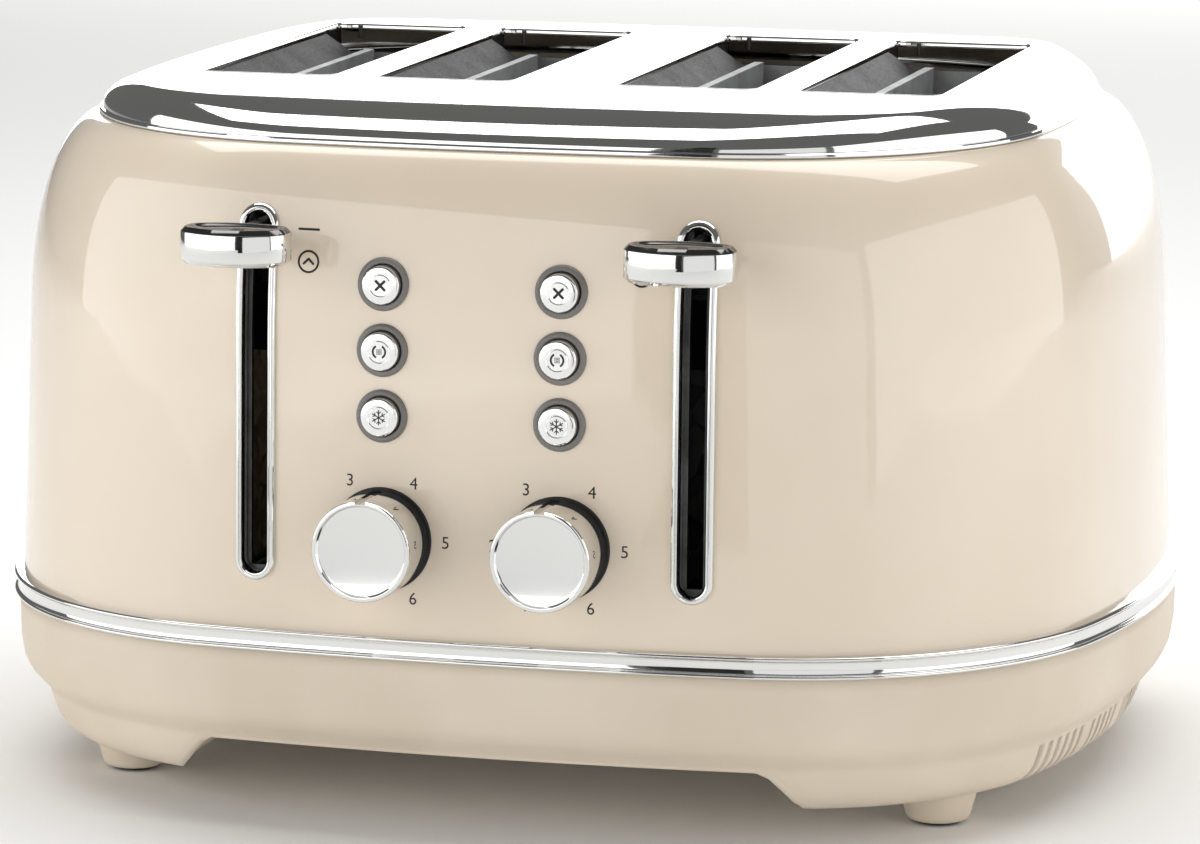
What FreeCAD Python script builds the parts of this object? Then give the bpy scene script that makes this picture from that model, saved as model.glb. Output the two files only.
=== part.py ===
import FreeCAD, Part
import math
import os

os.makedirs("parts", exist_ok=True)

# Four-slice pop-up toaster. Millimetres, X to the right, Y to the back, Z up from the surface it stands on.
# The body is drawn about its own centre and every piece is then moved so that the origin is the middle
# of the whole toaster's footprint, levers and cord gland included.

# ---------------------------------------------------------------- driving dimensions
BODY_HALF_WIDTH = 164.7       # widest outline, at the chrome belt
BODY_HALF_DEPTH = 141.3
FRONT_ARC = 768.8             # plan radii of the belt outline
SIDE_ARC = 271.7
CORNER_ARC = 93.4
TOP_HEIGHT = 195.0

BELT_LOW = 48.7
BELT_HEIGHT = 6.35
BELT_HIGH = BELT_LOW + BELT_HEIGHT
BELT_INNER_INSET = 6.5
BELT_EDGE_INSET = 1.6

LID_RISE = 10.4               # of the lid's flat top over the painted shell
SHELL_TOP = TOP_HEIGHT - LID_RISE
SHELL_WALL = 1.5
SHELL_FOOT_INSET = 3.1        # shell stands in from the belt by this much
SHELL_TAPER = 0.045           # lean of the flank, mm inwards per mm of height
SHELL_SHOULDER = 49.6         # height over which the shoulder rounds over
SHELL_SHOULDER_Z = SHELL_TOP - SHELL_SHOULDER
SHELL_SHOULDER_DEPTH = 19.3
SHELL_DEPTH_SHARE = 0.73      # front and back lean in less than the ends do
SHELL_RIM = 8.0               # turned-in ledge that carries the lid
SHELL_TOP_INSET = SHELL_FOOT_INSET + SHELL_TAPER * (SHELL_TOP - BELT_HIGH) + SHELL_SHOULDER_DEPTH

LID_OVERHANG = 1.2            # of the lid's flange over the shell's top edge
LID_HALF_WIDTH = BODY_HALF_WIDTH - SHELL_TOP_INSET + LID_OVERHANG
LID_HALF_DEPTH = BODY_HALF_DEPTH - SHELL_DEPTH_SHARE * SHELL_TOP_INSET + LID_OVERHANG
LID_SIDE_ARC = 447.0
LID_CORNER_ARC = 85.2
LID_FLANGE = 1.4
LID_FLANGE_LIP = 1.2
LID_WALL = 1.0
LID_SLOPE_WIDTH = 22.1        # plan width of the lid's rounded edge, at the ends
LID_SLOPE_DEPTH = 22.9        # the same at the front and the back
PLATEAU_HALF_WIDTH = LID_HALF_WIDTH - LID_SLOPE_WIDTH
PLATEAU_HALF_DEPTH = LID_HALF_DEPTH - LID_SLOPE_DEPTH
PLATEAU_Y = 4.0
PLATEAU_ARC = 6000.0
PLATEAU_CORNER = 22.0

SLOT_WIDTH = 40.2
SLOT_LENGTH = 133.4
SLOT_INNER_X = 35.0           # centres of the two slots on each side
SLOT_OUTER_X = 86.9
SLOT_Y = 17.8
SLOT_FRONT_Y = SLOT_Y - SLOT_LENGTH / 2
SLOT_BACK_Y = SLOT_Y + SLOT_LENGTH / 2
SLOT_CORNER = 4.0
SLOT_COLLAR_WALL = 1.0
SLOT_COLLAR_DROP = 7.0

BASE_BOTTOM = 10.0
BASE_WALL = 2.5
BASE_DEPTH_SHARE = 0.9
ARCH_TOP = 21.5
ARCH_HALF_FLAT = 75.0
ARCH_RAMP = 21.0
ARCH_EDGE = ARCH_HALF_FLAT + ARCH_RAMP
VENT_WIDTH = 2.2
VENT_PITCH = 5.0
VENT_LOW = 12.0
VENT_HIGH = 21.5
VENT_REACH = 45.0             # how far each slit is cut in from the end

FOOT_X = ARCH_EDGE + 20.3
FOOT_Y = BODY_HALF_DEPTH - 60.55
FOOT_TOP_R = 11.2
FOOT_BOTTOM_R = 9.0
PAD_R = 8.0
PAD_HEIGHT = 2.0

LEVER_X = 60.8
LEVER_TRAVEL = 84.0
KNOB_Z = SHELL_TOP - 23.6
KNOB_HEIGHT = 10.0
KNOB_WIDTH = 30.0
KNOB_DEPTH = 17.6
KNOB_Y = -BODY_HALF_DEPTH - 9.2
KNOB_FRONT_BULGE = 5.8
KNOB_REAR_BULGE = 4.5
KNOB_CORNER = 2.0
KNOB_CHAMFER = 1.3
ARM_THICKNESS = 3.0
ARM_HEIGHT = 8.0
ARM_CLEAR = 1.5               # above and below the arm at the ends of its travel
ARM_SIDE_CLEAR = 0.7
LEVER_SLOT_LOW = KNOB_Z - LEVER_TRAVEL - 9.1
LEVER_SLOT_HIGH = KNOB_Z + 8.7
FRAME_SLOT = 7.0
FRAME_NECK = FRAME_SLOT + 2.0
FRAME_WIDTH = FRAME_SLOT + 4.5
FRAME_PROUD = 1.5
FRAME_NECK_DEPTH = 1.2        # neck reaches this far behind the shell's wall
GUIDE_THICK = 1.7             # slotted cover strip behind the frame
GUIDE_BORDER = 3.0

BUTTON_X = 24.6
BUTTON_PITCH = 17.65
BUTTON_TOP_Z = KNOB_Z - 11.1
BUTTON_Z = (BUTTON_TOP_Z, BUTTON_TOP_Z - BUTTON_PITCH, BUTTON_TOP_Z - 2 * BUTTON_PITCH)
BUTTON_NAMES = ("cancel", "reheat", "defrost")
BUTTON_R = 5.2
BUTTON_CLEAR = 0.25
BUTTON_PROUD = 1.9
BUTTON_TRAVEL = 2.0
BUTTON_EDGE = 0.6
BUTTON_LENGTH = 8.5           # cap behind the wall's face
BUTTON_STEM_R = 2.0
BEZEL_NECK_R = BUTTON_R + 1.2
BEZEL_R = BUTTON_R + 1.95
BEZEL_PROUD = 1.2
BEZEL_NECK_DEPTH = 6.0
BUTTON_STOP_R = BEZEL_NECK_R - 0.4

DIAL_Z = BUTTON_Z[2] - 33.3
DIAL_R = 13.7
DIAL_FACE_Y = -BODY_HALF_DEPTH - 15.2
DIAL_EDGE = 0.5
DIAL_RIM = 1.3
DIAL_DISH = 0.8
DIAL_NOTCH_WIDTH = 3.0
DIAL_NOTCH_DEPTH = 0.9
DIAL_RING_R = DIAL_R + 0.9
DIAL_RING_PROUD = 1.5
DIAL_GAP = 1.1                # clears the ring, which follows the leaning wall
SHAFT_R = 3.0
SHAFT_INSET = 7.5             # shaft ends this far behind the dial's face
SHAFT_HOLE_R = SHAFT_R + 2.0
RUN_CLEAR = 0.05              # radial clearance of shafts and rods in their bores
POT_R = 8.5
POT_LENGTH = 8.0
POT_NECK_R = 4.5
POT_NECK_LENGTH = 5.0

OVEN_FRONT_Y = SLOT_FRONT_Y - 4.1       # inner faces of the two chassis plates
OVEN_BACK_Y = SLOT_BACK_Y + 3.5
PLATE = 1.0
OVEN_HALF_WIDTH = SLOT_OUTER_X + SLOT_WIDTH / 2 + 6.0
GUARD_GAP = SLOT_WIDTH - 5.2            # between the two wire guards of one slot
GUARD_WIRE_R = 1.0
GUARD_WIRES = 6
CARD_THICK = 1.0
CARD_MARGIN = 3.6                       # from a guard's centre line to the card beside it
CARD_STEP = GUARD_GAP / 2 + CARD_MARGIN + CARD_THICK + GUARD_WIRE_R
CARD_X = (SLOT_INNER_X - CARD_STEP, (SLOT_INNER_X + SLOT_OUTER_X) / 2, SLOT_OUTER_X + CARD_STEP)

TRAY_HEIGHT = 9.5
TRAY_WALL = 0.8
TRAY_CLEAR = 0.4
TRAY_LIFT = 0.3                         # over the inner face of the arch
TRAY_LOW = ARCH_TOP + BASE_WALL + TRAY_LIFT
TRAY_TOP = TRAY_LOW + TRAY_HEIGHT
TRAY_IN_X = 14.0
TRAY_OUT_X = OVEN_HALF_WIDTH - 5.0
TRAY_FRONT_Y = OVEN_FRONT_Y + 3.0
TRAY_LIP = 10.0
TRAY_LIP_HALF = 14.0
TRAY_LIP_THICK = 2.4
TRAY_HOOK_THICK = 2.0

CHASSIS_LOW = TRAY_TOP + 2.2
CHASSIS_TOP = SHELL_TOP - 4.6
CARD_LOW = CHASSIS_LOW + 8.0
CARD_TOP = CHASSIS_TOP - 4.0

RACK_TOP = KNOB_Z - 31.0
RACK_HEIGHT = 8.0
RACK_STRIP = 2.0
RACK_BAR = 12.0
RACK_BARS = 7
RACK_SLOT = RACK_STRIP + 4.0
RACK_OVERRUN = 8.0                      # rack's tail runs through the rear plate
RACK_END_GAP = 10.0                     # from a slot's end to the nearest cross bar

SLIDER_BACK_Y = OVEN_FRONT_Y - 9.0
ROD_Y = OVEN_FRONT_Y - 25.0
ROD_R = 2.5
MAGNET_Y = OVEN_FRONT_Y - 45.0
MAGNET_GAP = 0.5
MAGNET_HALF = 8.0
COIL_R = 6.5
SLIDER_FRONT_Y = OVEN_FRONT_Y - 53.0
SLIDER_LOW = KNOB_Z - 15.0
SLIDER_HEIGHT = 22.0
SLIDER_HALF_WIDTH = 9.0
CROSS_THICK = 1.5
CROSS_REACH = 6.0                       # cross bar runs past the racks that it carries
TAB_LOW_Z = CHASSIS_LOW + 2.0
TAB_THICK = 1.5
TAB_HALF_WIDTH = SLIDER_HALF_WIDTH + 5.0
TAB_CLEAR = 1.0
KEEPER_THICK = 1.5
KEEPER_HALF = 7.0
SPRING_R = 4.2
SPRING_WIRE_R = 0.5
SPRING_TURNS = 13

BOARD_Y = -BODY_HALF_DEPTH + 24.3
BOARD_THICK = 1.6
BOARD_HALF_WIDTH = 19.0
BOARD_LOW = DIAL_Z - 19.3
BOARD_TOP = BUTTON_TOP_Z + 14.1
BOARD_POST_X = 10.0
BOARD_POST_R = 3.0
BOARD_POST_INSET = 6.0
SWITCH_HEIGHT = 2.8
SWITCH_HALF = 3.0
SWITCH_GAP = 0.4

GLAND_Z = 38.5
GLAND_R = 6.0
GLAND_BORE_R = 3.7
GLAND_LENGTH = 22.0
GLAND_END_Y = BODY_HALF_DEPTH + 9.2
GLAND_NOSE = 6.0
GLAND_COLLAR = 2.0
GLAND_COLLAR_LENGTH = 2.5
FIT_CLEAR = 0.1                         # radial gap of trim pieces in the holes that hold them

SCREW_X = OVEN_HALF_WIDTH + 9.0
SCREW_Y = 30.0
SCREW_HEAD_R = 3.4
SCREW_HEAD_HEIGHT = 1.2
SCREW_R = 1.5
SCREW_LENGTH = 7.0
LEDGE_MARGIN_X = 6.0                    # of the heat shield's ledge round its screws
LEDGE_MARGIN_Y = 8.0

CUT_REACH = 40.0                        # front tools run this far back from the front
CUT_SPARE = 5.0                         # and every tool runs this far past what it cuts
ORIGIN_Y = (KNOB_Y - KNOB_DEPTH / 2 + GLAND_END_Y) / 2
SIDES = (("left", -1), ("right", 1))


# ---------------------------------------------------------------- helpers
def vec(x, y, z):
    return FreeCAD.Vector(x, y, z)


def box(x0, x1, y0, y1, z0, z1):
    return Part.makeBox(abs(x1 - x0), y1 - y0, z1 - z0, vec(min(x0, x1), y0, z0))


def rod_y(x, z, r, y0, y1):
    return Part.makeCylinder(r, y1 - y0, vec(x, y0, z), vec(0, 1, 0))


def rod_z(x, y, r, z0, z1):
    return Part.makeCylinder(r, z1 - z0, vec(x, y, z0))


def fuse(shapes):
    return shapes[0].fuse(shapes[1:]).removeSplitter()


def save(name, shape):
    moved = shape.copy()
    moved.translate(vec(0, -ORIGIN_Y, 0))
    moved.exportStep("parts/" + name + ".step")


def corner_centre(half_width, half_depth, front, side, corner):
    """Centre of the corner arc that is tangent to the front arc and the side arc."""
    x0, y0 = 0.0, front - half_depth
    x1, y1 = half_width - side, 0.0
    r0, r1 = front - corner, side - corner
    d = math.hypot(x1 - x0, y1 - y0)
    along = (r0 * r0 - r1 * r1 + d * d) / (2 * d)
    across = math.sqrt(r0 * r0 - along * along)
    ex, ey = (x1 - x0) / d, (y1 - y0) / d
    qx, qy = x0 + along * ex, y0 + along * ey
    return max((qx - across * ey, qy + across * ex), (qx + across * ey, qy - across * ex))


def outline(half_width, half_depth, front, side, corner, z, yc=0.0):
    """Closed plan outline: long front and back arcs, side arcs and four tangent corner arcs."""
    cx, cy = corner_centre(half_width, half_depth, front, side, corner)
    fx, fy = cx, cy - (front - half_depth)
    f = math.hypot(fx, fy)
    tx, ty = front * fx / f, front - half_depth + front * fy / f
    gx, gy = cx - (half_width - side), cy
    g = math.hypot(gx, gy)
    ux, uy = half_width - side + side * gx / g, side * gy / g
    mx, my = (tx + ux) / 2 - cx, (ty + uy) / 2 - cy
    m = math.hypot(mx, my)
    kx, ky = cx + corner * mx / m, cy + corner * my / m
    turns = (((-tx, ty), (0, -half_depth), (tx, ty)), ((tx, ty), (kx, ky), (ux, uy)),
             ((ux, uy), (half_width, 0), (ux, -uy)), ((ux, -uy), (kx, -ky), (tx, -ty)),
             ((tx, -ty), (0, half_depth), (-tx, -ty)), ((-tx, -ty), (-kx, -ky), (-ux, -uy)),
             ((-ux, -uy), (-half_width, 0), (-ux, uy)), ((-ux, uy), (-kx, ky), (-tx, ty)))
    arcs = [Part.Arc(*[vec(x, y + yc, z) for x, y in turn]).toShape() for turn in turns]
    return Part.Wire(arcs)


def loft(wires):
    return Part.makeLoft(wires, True, True)


def prism(wire, height):
    return Part.Face(wire).extrude(vec(0, 0, height))


def obround_y(x, z0, z1, width, y0, y1):
    """Upright slot shape with round ends, run along Y."""
    r = width / 2
    shapes = [box(x - r, x + r, y0, y1, z0 + r, z1 - r), rod_y(x, z0 + r, r, y0, y1),
              rod_y(x, z1 - r, r, y0, y1)]
    return fuse(shapes)


def slot_block(x, grow, z0, z1):
    """Block of one bread slot with rounded corners, larger by grow all round."""
    hx, hy, r = SLOT_WIDTH / 2 + grow, SLOT_LENGTH / 2 + grow, SLOT_CORNER + grow
    block = box(x - hx, x + hx, SLOT_Y - hy, SLOT_Y + hy, z0, z1)
    upright = [e for e in block.Edges if abs(e.tangentAt(e.FirstParameter).z) > 0.99]
    return block.makeFillet(r, upright)


# ---------------------------------------------------------------- outer surfaces
def shell_inset(z):
    """How far the painted shell stands in from the belt outline at height z."""
    inset = SHELL_FOOT_INSET + SHELL_TAPER * (z - BELT_HIGH)
    if z > SHELL_SHOULDER_Z:
        t = min(1.0, (z - SHELL_SHOULDER_Z) / (SHELL_TOP - SHELL_SHOULDER_Z))
        inset += SHELL_SHOULDER_DEPTH * (1 - math.sqrt(1 - t * t))
    return inset


def shell_outline(z, offset, z_at):
    inset = shell_inset(z)
    share = inset / shell_inset(SHELL_TOP)
    side = 1 / ((1 - share) / SIDE_ARC + share / LID_SIDE_ARC)
    corner = CORNER_ARC + share * (LID_CORNER_ARC - CORNER_ARC)
    return outline(BODY_HALF_WIDTH - inset - offset, BODY_HALF_DEPTH - SHELL_DEPTH_SHARE * inset - offset,
                   FRONT_ARC - offset, side - offset, corner - offset, z_at)


def shell_solid(offset):
    """The shell's outer form, moved inwards by offset (outwards when negative)."""
    shoulder = SHELL_TOP - SHELL_SHOULDER_Z
    levels = [BELT_HIGH, 80.0, 108.0, SHELL_SHOULDER_Z]
    levels += [SHELL_SHOULDER_Z + shoulder * math.sin(math.radians(a)) for a in range(12, 91, 13)]
    wires = []
    for z in levels:
        lean = max(0.0, (z - SHELL_SHOULDER_Z) / shoulder) ** 2
        wires.append(shell_outline(z, offset, z - offset * lean))
    if offset > 0:
        wires.insert(0, shell_outline(BELT_HIGH, offset, BELT_HIGH - 1))
    return loft(wires)


def front_wall(x, z):
    """Y of the painted shell's outer face at the front."""
    half_depth = BODY_HALF_DEPTH - SHELL_DEPTH_SHARE * shell_inset(z)
    return -half_depth + FRONT_ARC - math.sqrt(FRONT_ARC ** 2 - x * x)


# height and inset of the base's outer surface: a bulge under the belt, a step, and a lobe that rounds under
BASE_PROFILE = ((BASE_BOTTOM, 18.6), (10.7, 16.2), (11.9, 14.2), (13.8, 12.4), (16.2, 11.2), (19.0, 10.3),
                (22.4, 9.4), (24.3, 7.6), (27.2, 4.6), (30.4, 2.7), (36.0, 1.8), (BELT_LOW, 1.5))


def base_outline(inset, z):
    return outline(BODY_HALF_WIDTH - inset, BODY_HALF_DEPTH - BASE_DEPTH_SHARE * inset, FRONT_ARC - inset,
                   SIDE_ARC - inset, CORNER_ARC - inset, z)


def base_inset(z):
    """Inset of the base's outer surface at height z, from the profile."""
    for (z0, inset0), (z1, inset1) in zip(BASE_PROFILE, BASE_PROFILE[1:]):
        if z <= z1:
            return inset0 + (inset1 - inset0) * (z - z0) / (z1 - z0)
    return BASE_PROFILE[-1][1]


def base_solid(offset):
    """The base's outer form without its arch, moved inwards by offset."""
    low = BASE_BOTTOM + offset
    wires = [base_outline(base_inset(low) + offset, low)]
    wires += [base_outline(inset + offset, z) for z, inset in BASE_PROFILE if z > low + 0.5]
    if offset > 0:
        wires.append(base_outline(BASE_PROFILE[-1][1] + offset, BELT_LOW + 1))
    return loft(wires)


def arch_solid(grow):
    """Tunnel under the middle of the base, with S-shaped ramps down to the two lobes."""
    top, low, flat = ARCH_TOP + grow, BASE_BOTTOM - 5, ARCH_HALF_FLAT + grow
    mid_z, half = (ARCH_TOP + BASE_BOTTOM) / 2 + grow / 2, ARCH_RAMP / 2
    reach = BODY_HALF_DEPTH + 20
    left = [(-flat, top), (-flat - half * 0.55, top - 1.6), (-flat - half, mid_z)]
    foot = [(-flat - half, mid_z), (-flat - half * 1.45, BASE_BOTTOM + 1.4), (-flat - ARCH_RAMP, BASE_BOTTOM)]

    def arc(points, sign):
        return Part.Arc(*[vec(sign * x, -reach, z) for x, z in points]).toShape()

    def line(a, b):
        return Part.LineSegment(vec(a[0], -reach, a[1]), vec(b[0], -reach, b[1])).toShape()

    edge = flat + ARCH_RAMP
    edges = [line((-edge, low), (-edge, BASE_BOTTOM)), arc(foot[::-1], 1), arc(left[::-1], 1),
             line((-flat, top), (flat, top)), arc(left, -1), arc(foot, -1),
             line((edge, BASE_BOTTOM), (edge, low)), line((edge, low), (-edge, low))]
    return Part.Face(Part.Wire(edges)).extrude(vec(0, 2 * reach, 0))


def on_wall(tool, outer, inner):
    """The part of a tool that lies between two offsets of the shell's surface."""
    return tool.common(shell_solid(outer).cut(shell_solid(inner)))


# ---------------------------------------------------------------- casing
def tray_window(side, grow):
    x0, x1 = side * (TRAY_IN_X - grow), side * (TRAY_OUT_X + grow)
    return box(x0, x1, BODY_HALF_DEPTH - 2 * CUT_REACH, BODY_HALF_DEPTH + CUT_SPARE, TRAY_LOW - grow,
               TRAY_TOP + grow)


def vent_rows():
    """Y of each vent slit: five groups, the same on both ends of the base."""
    groups = ((-75.0, 6), (-41.0, 5), (-10.0, 5), (21.0, 5), (50.0, 6))
    return [start + VENT_PITCH * i for start, count in groups for i in range(count)]


def screw_spots():
    return [(sx * SCREW_X, sy * SCREW_Y) for sx in (-1, 1) for sy in (-1, 1)]


def make_base():
    outer = base_solid(0).cut(arch_solid(0))
    inner = base_solid(BASE_WALL).cut(arch_solid(BASE_WALL))
    shell = outer.cut(inner)
    tools = [tray_window(side, TRAY_CLEAR) for _, side in SIDES]
    tools.append(rod_y(0, GLAND_Z, GLAND_R + FIT_CLEAR, BODY_HALF_DEPTH - CUT_REACH / 2,
                       BODY_HALF_DEPTH + CUT_SPARE))
    for x, y in screw_spots():
        tools.append(rod_z(x, y, SCREW_R + FIT_CLEAR, BASE_BOTTOM - 1, BASE_BOTTOM + CUT_SPARE))
        tools.append(rod_z(x, y, SCREW_HEAD_R + FIT_CLEAR, BASE_BOTTOM - 1, BASE_BOTTOM + SCREW_HEAD_HEIGHT))
    half = VENT_WIDTH / 2
    for y in vent_rows():
        for _, side in SIDES:
            tools.append(box(side * (BODY_HALF_WIDTH - VENT_REACH), side * BODY_HALF_WIDTH, y - half, y + half,
                             VENT_LOW, VENT_HIGH))
    save("base_shell", shell.cut(tools))


def make_feet():
    pads = []
    for depth, sy in (("front", -1), ("rear", 1)):
        for name, sx in SIDES:
            at = vec(sx * FOOT_X, sy * FOOT_Y, PAD_HEIGHT)
            foot = Part.makeCone(FOOT_BOTTOM_R, FOOT_TOP_R, BASE_BOTTOM - PAD_HEIGHT, at)
            save("foot_" + depth + "_" + name, foot)
            pads.append(rod_z(at.x, at.y, PAD_R, 0, PAD_HEIGHT))
    save("foot_pads", Part.makeCompound(pads))


def make_screws():
    screws = []
    for x, y in screw_spots():
        neck = BASE_BOTTOM + SCREW_HEAD_HEIGHT
        head = rod_z(x, y, SCREW_HEAD_R, BASE_BOTTOM, neck)
        screws.append(fuse([head, rod_z(x, y, SCREW_R, neck, BASE_BOTTOM + SCREW_LENGTH)]))
    save("base_screws", Part.makeCompound(screws))


def belt_outline(inset, z):
    return outline(BODY_HALF_WIDTH - inset, BODY_HALF_DEPTH - inset, FRONT_ARC - inset, SIDE_ARC - inset,
                   CORNER_ARC - inset, z)


def make_belt():
    edge = ((0, BELT_EDGE_INSET), (0.12, 0.5), (0.5, 0.0), (0.88, 0.5), (1, BELT_EDGE_INSET))
    outer = loft([belt_outline(inset, BELT_LOW + share * BELT_HEIGHT) for share, inset in edge])
    inner = prism(belt_outline(BELT_INNER_INSET, BELT_LOW - 1), BELT_HEIGHT + 2)
    save("belt_trim", outer.cut(inner))


def make_body_shell():
    shell = shell_solid(0).cut(shell_solid(SHELL_WALL))
    rim = outline(BODY_HALF_WIDTH - SHELL_TOP_INSET - SHELL_RIM,
                  BODY_HALF_DEPTH - SHELL_DEPTH_SHARE * SHELL_TOP_INSET - SHELL_RIM,
                  FRONT_ARC, LID_SIDE_ARC, LID_CORNER_ARC - SHELL_RIM, SHELL_SHOULDER_Z)
    tools = [prism(rim, SHELL_TOP)]
    y0, y1 = -BODY_HALF_DEPTH - CUT_SPARE, -BODY_HALF_DEPTH + CUT_REACH
    grow = FIT_CLEAR
    for _, side in SIDES:
        tools.append(obround_y(side * LEVER_X, LEVER_SLOT_LOW + 1 - grow, LEVER_SLOT_HIGH - 1 + grow,
                               FRAME_NECK + 2 * grow, y0, y1))
        tools.append(rod_y(side * BUTTON_X, DIAL_Z, SHAFT_HOLE_R, y0, y1))
        for z in BUTTON_Z:
            tools.append(rod_y(side * BUTTON_X, z, BEZEL_NECK_R + grow, y0, y1))
    save("body_shell", shell.cut(tools))


def lid_outline(share, inset, z):
    """Share 0 is the lid's lower edge and 1 is the edge of its flat top."""
    def mix(a, b):
        return a + share * (b - a)
    return outline(mix(LID_HALF_WIDTH, PLATEAU_HALF_WIDTH) - inset,
                   mix(LID_HALF_DEPTH, PLATEAU_HALF_DEPTH) - inset,
                   1 / mix(1 / FRONT_ARC, 1 / PLATEAU_ARC), 1 / mix(1 / LID_SIDE_ARC, 1 / PLATEAU_ARC),
                   mix(LID_CORNER_ARC, PLATEAU_CORNER) - inset, z, mix(0, PLATEAU_Y))


def lid_dome(inset, low, top):
    wires = []
    for degrees in (0, 15, 30, 45, 60, 75, 90):
        angle = math.radians(degrees)
        wires.append(lid_outline(1 - math.cos(angle), inset, low + (top - low) * math.sin(angle)))
    return wires


def make_lid():
    flange_top = SHELL_TOP + LID_FLANGE
    flange = prism(lid_outline(0, 0, SHELL_TOP), LID_FLANGE)
    dome = loft(lid_dome(LID_FLANGE_LIP, flange_top, TOP_HEIGHT))
    skirt_inset = LID_FLANGE_LIP + LID_WALL
    under = lid_dome(skirt_inset, flange_top - LID_WALL / 2, TOP_HEIGHT - LID_WALL)
    hollow = loft([lid_outline(0, skirt_inset, SHELL_TOP - 1)] + under)
    lid = flange.fuse(dome).cut(hollow)
    collars = []
    holes = []
    for x in (-SLOT_OUTER_X, -SLOT_INNER_X, SLOT_INNER_X, SLOT_OUTER_X):
        collars.append(slot_block(x, SLOT_COLLAR_WALL, TOP_HEIGHT - SLOT_COLLAR_DROP,
                                  TOP_HEIGHT - LID_WALL / 2))
        holes.append(slot_block(x, 0, TOP_HEIGHT - SLOT_COLLAR_DROP - CUT_SPARE, TOP_HEIGHT + CUT_SPARE))
    save("top_lid", lid.fuse(collars).cut(holes))


# ---------------------------------------------------------------- front trim
def make_front_trim():
    y0, y1 = -BODY_HALF_DEPTH - CUT_SPARE, -BODY_HALF_DEPTH + CUT_REACH
    inset = (FRAME_WIDTH - FRAME_NECK) / 2
    for name, side in SIDES:
        x = side * LEVER_X
        slot = obround_y(x, LEVER_SLOT_LOW + 2, LEVER_SLOT_HIGH - 2, FRAME_SLOT, y0, y1)
        face = obround_y(x, LEVER_SLOT_LOW, LEVER_SLOT_HIGH, FRAME_WIDTH, y0, y1).cut(slot)
        neck = obround_y(x, LEVER_SLOT_LOW + inset, LEVER_SLOT_HIGH - inset, FRAME_NECK, y0, y1).cut(slot)
        frame = on_wall(face, -FRAME_PROUD, 0).fuse(on_wall(neck, 0, SHELL_WALL + FRAME_NECK_DEPTH))
        save("lever_slot_frame_" + name, frame.removeSplitter())
        cover = obround_y(x, LEVER_SLOT_LOW - GUIDE_BORDER, LEVER_SLOT_HIGH + GUIDE_BORDER,
                          FRAME_WIDTH + 2 * GUIDE_BORDER, y0, y1)
        half = ARM_THICKNESS / 2 + ARM_SIDE_CLEAR
        cut = box(x - half, x + half, y0, y1, KNOB_Z - LEVER_TRAVEL - ARM_HEIGHT / 2 - ARM_CLEAR,
                  KNOB_Z + ARM_HEIGHT / 2 + ARM_CLEAR)
        face_in = SHELL_WALL + FRAME_NECK_DEPTH + 0.3
        save("lever_slot_guide_" + name, on_wall(cover.cut(cut), face_in, face_in + GUIDE_THICK))
        bezels = []
        for z in BUTTON_Z:
            bore = rod_y(side * BUTTON_X, z, BUTTON_R + BUTTON_CLEAR, y0, y1)
            face = rod_y(side * BUTTON_X, z, BEZEL_R, y0, y1).cut(bore)
            neck = rod_y(side * BUTTON_X, z, BEZEL_NECK_R, y0, y1).cut(bore)
            bezel = on_wall(face, -BEZEL_PROUD, 0).fuse(on_wall(neck, 0, BEZEL_NECK_DEPTH))
            bezels.append(bezel.removeSplitter())
        save("button_bezels_" + name, Part.makeCompound(bezels))
        ring = rod_y(side * BUTTON_X, DIAL_Z, DIAL_RING_R, y0, y1)
        ring = ring.cut(rod_y(side * BUTTON_X, DIAL_Z, SHAFT_HOLE_R - 1, y0, y1))
        save("dial_ring_" + name, on_wall(ring, -DIAL_RING_PROUD, 0))


def make_buttons():
    stem_end = BOARD_Y - SWITCH_HEIGHT - BUTTON_TRAVEL - SWITCH_GAP
    for name, side in SIDES:
        for label, z in zip(BUTTON_NAMES, BUTTON_Z):
            x = side * BUTTON_X
            wall = front_wall(x, z)
            cap_end = wall + BUTTON_LENGTH
            cap = rod_y(x, z, BUTTON_R, wall - BEZEL_PROUD - BUTTON_PROUD, cap_end)
            rim = [e for e in cap.Edges if e.BoundBox.YMax < wall - BEZEL_PROUD]
            cap = cap.makeFillet(BUTTON_EDGE, rim)
            stop = rod_y(x, z, BUTTON_STOP_R, cap_end - 1, cap_end)
            stem = rod_y(x, z, BUTTON_STEM_R, cap_end - 0.5, stem_end)
            save("button_" + label + "_" + name, fuse([cap, stop, stem]))


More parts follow.
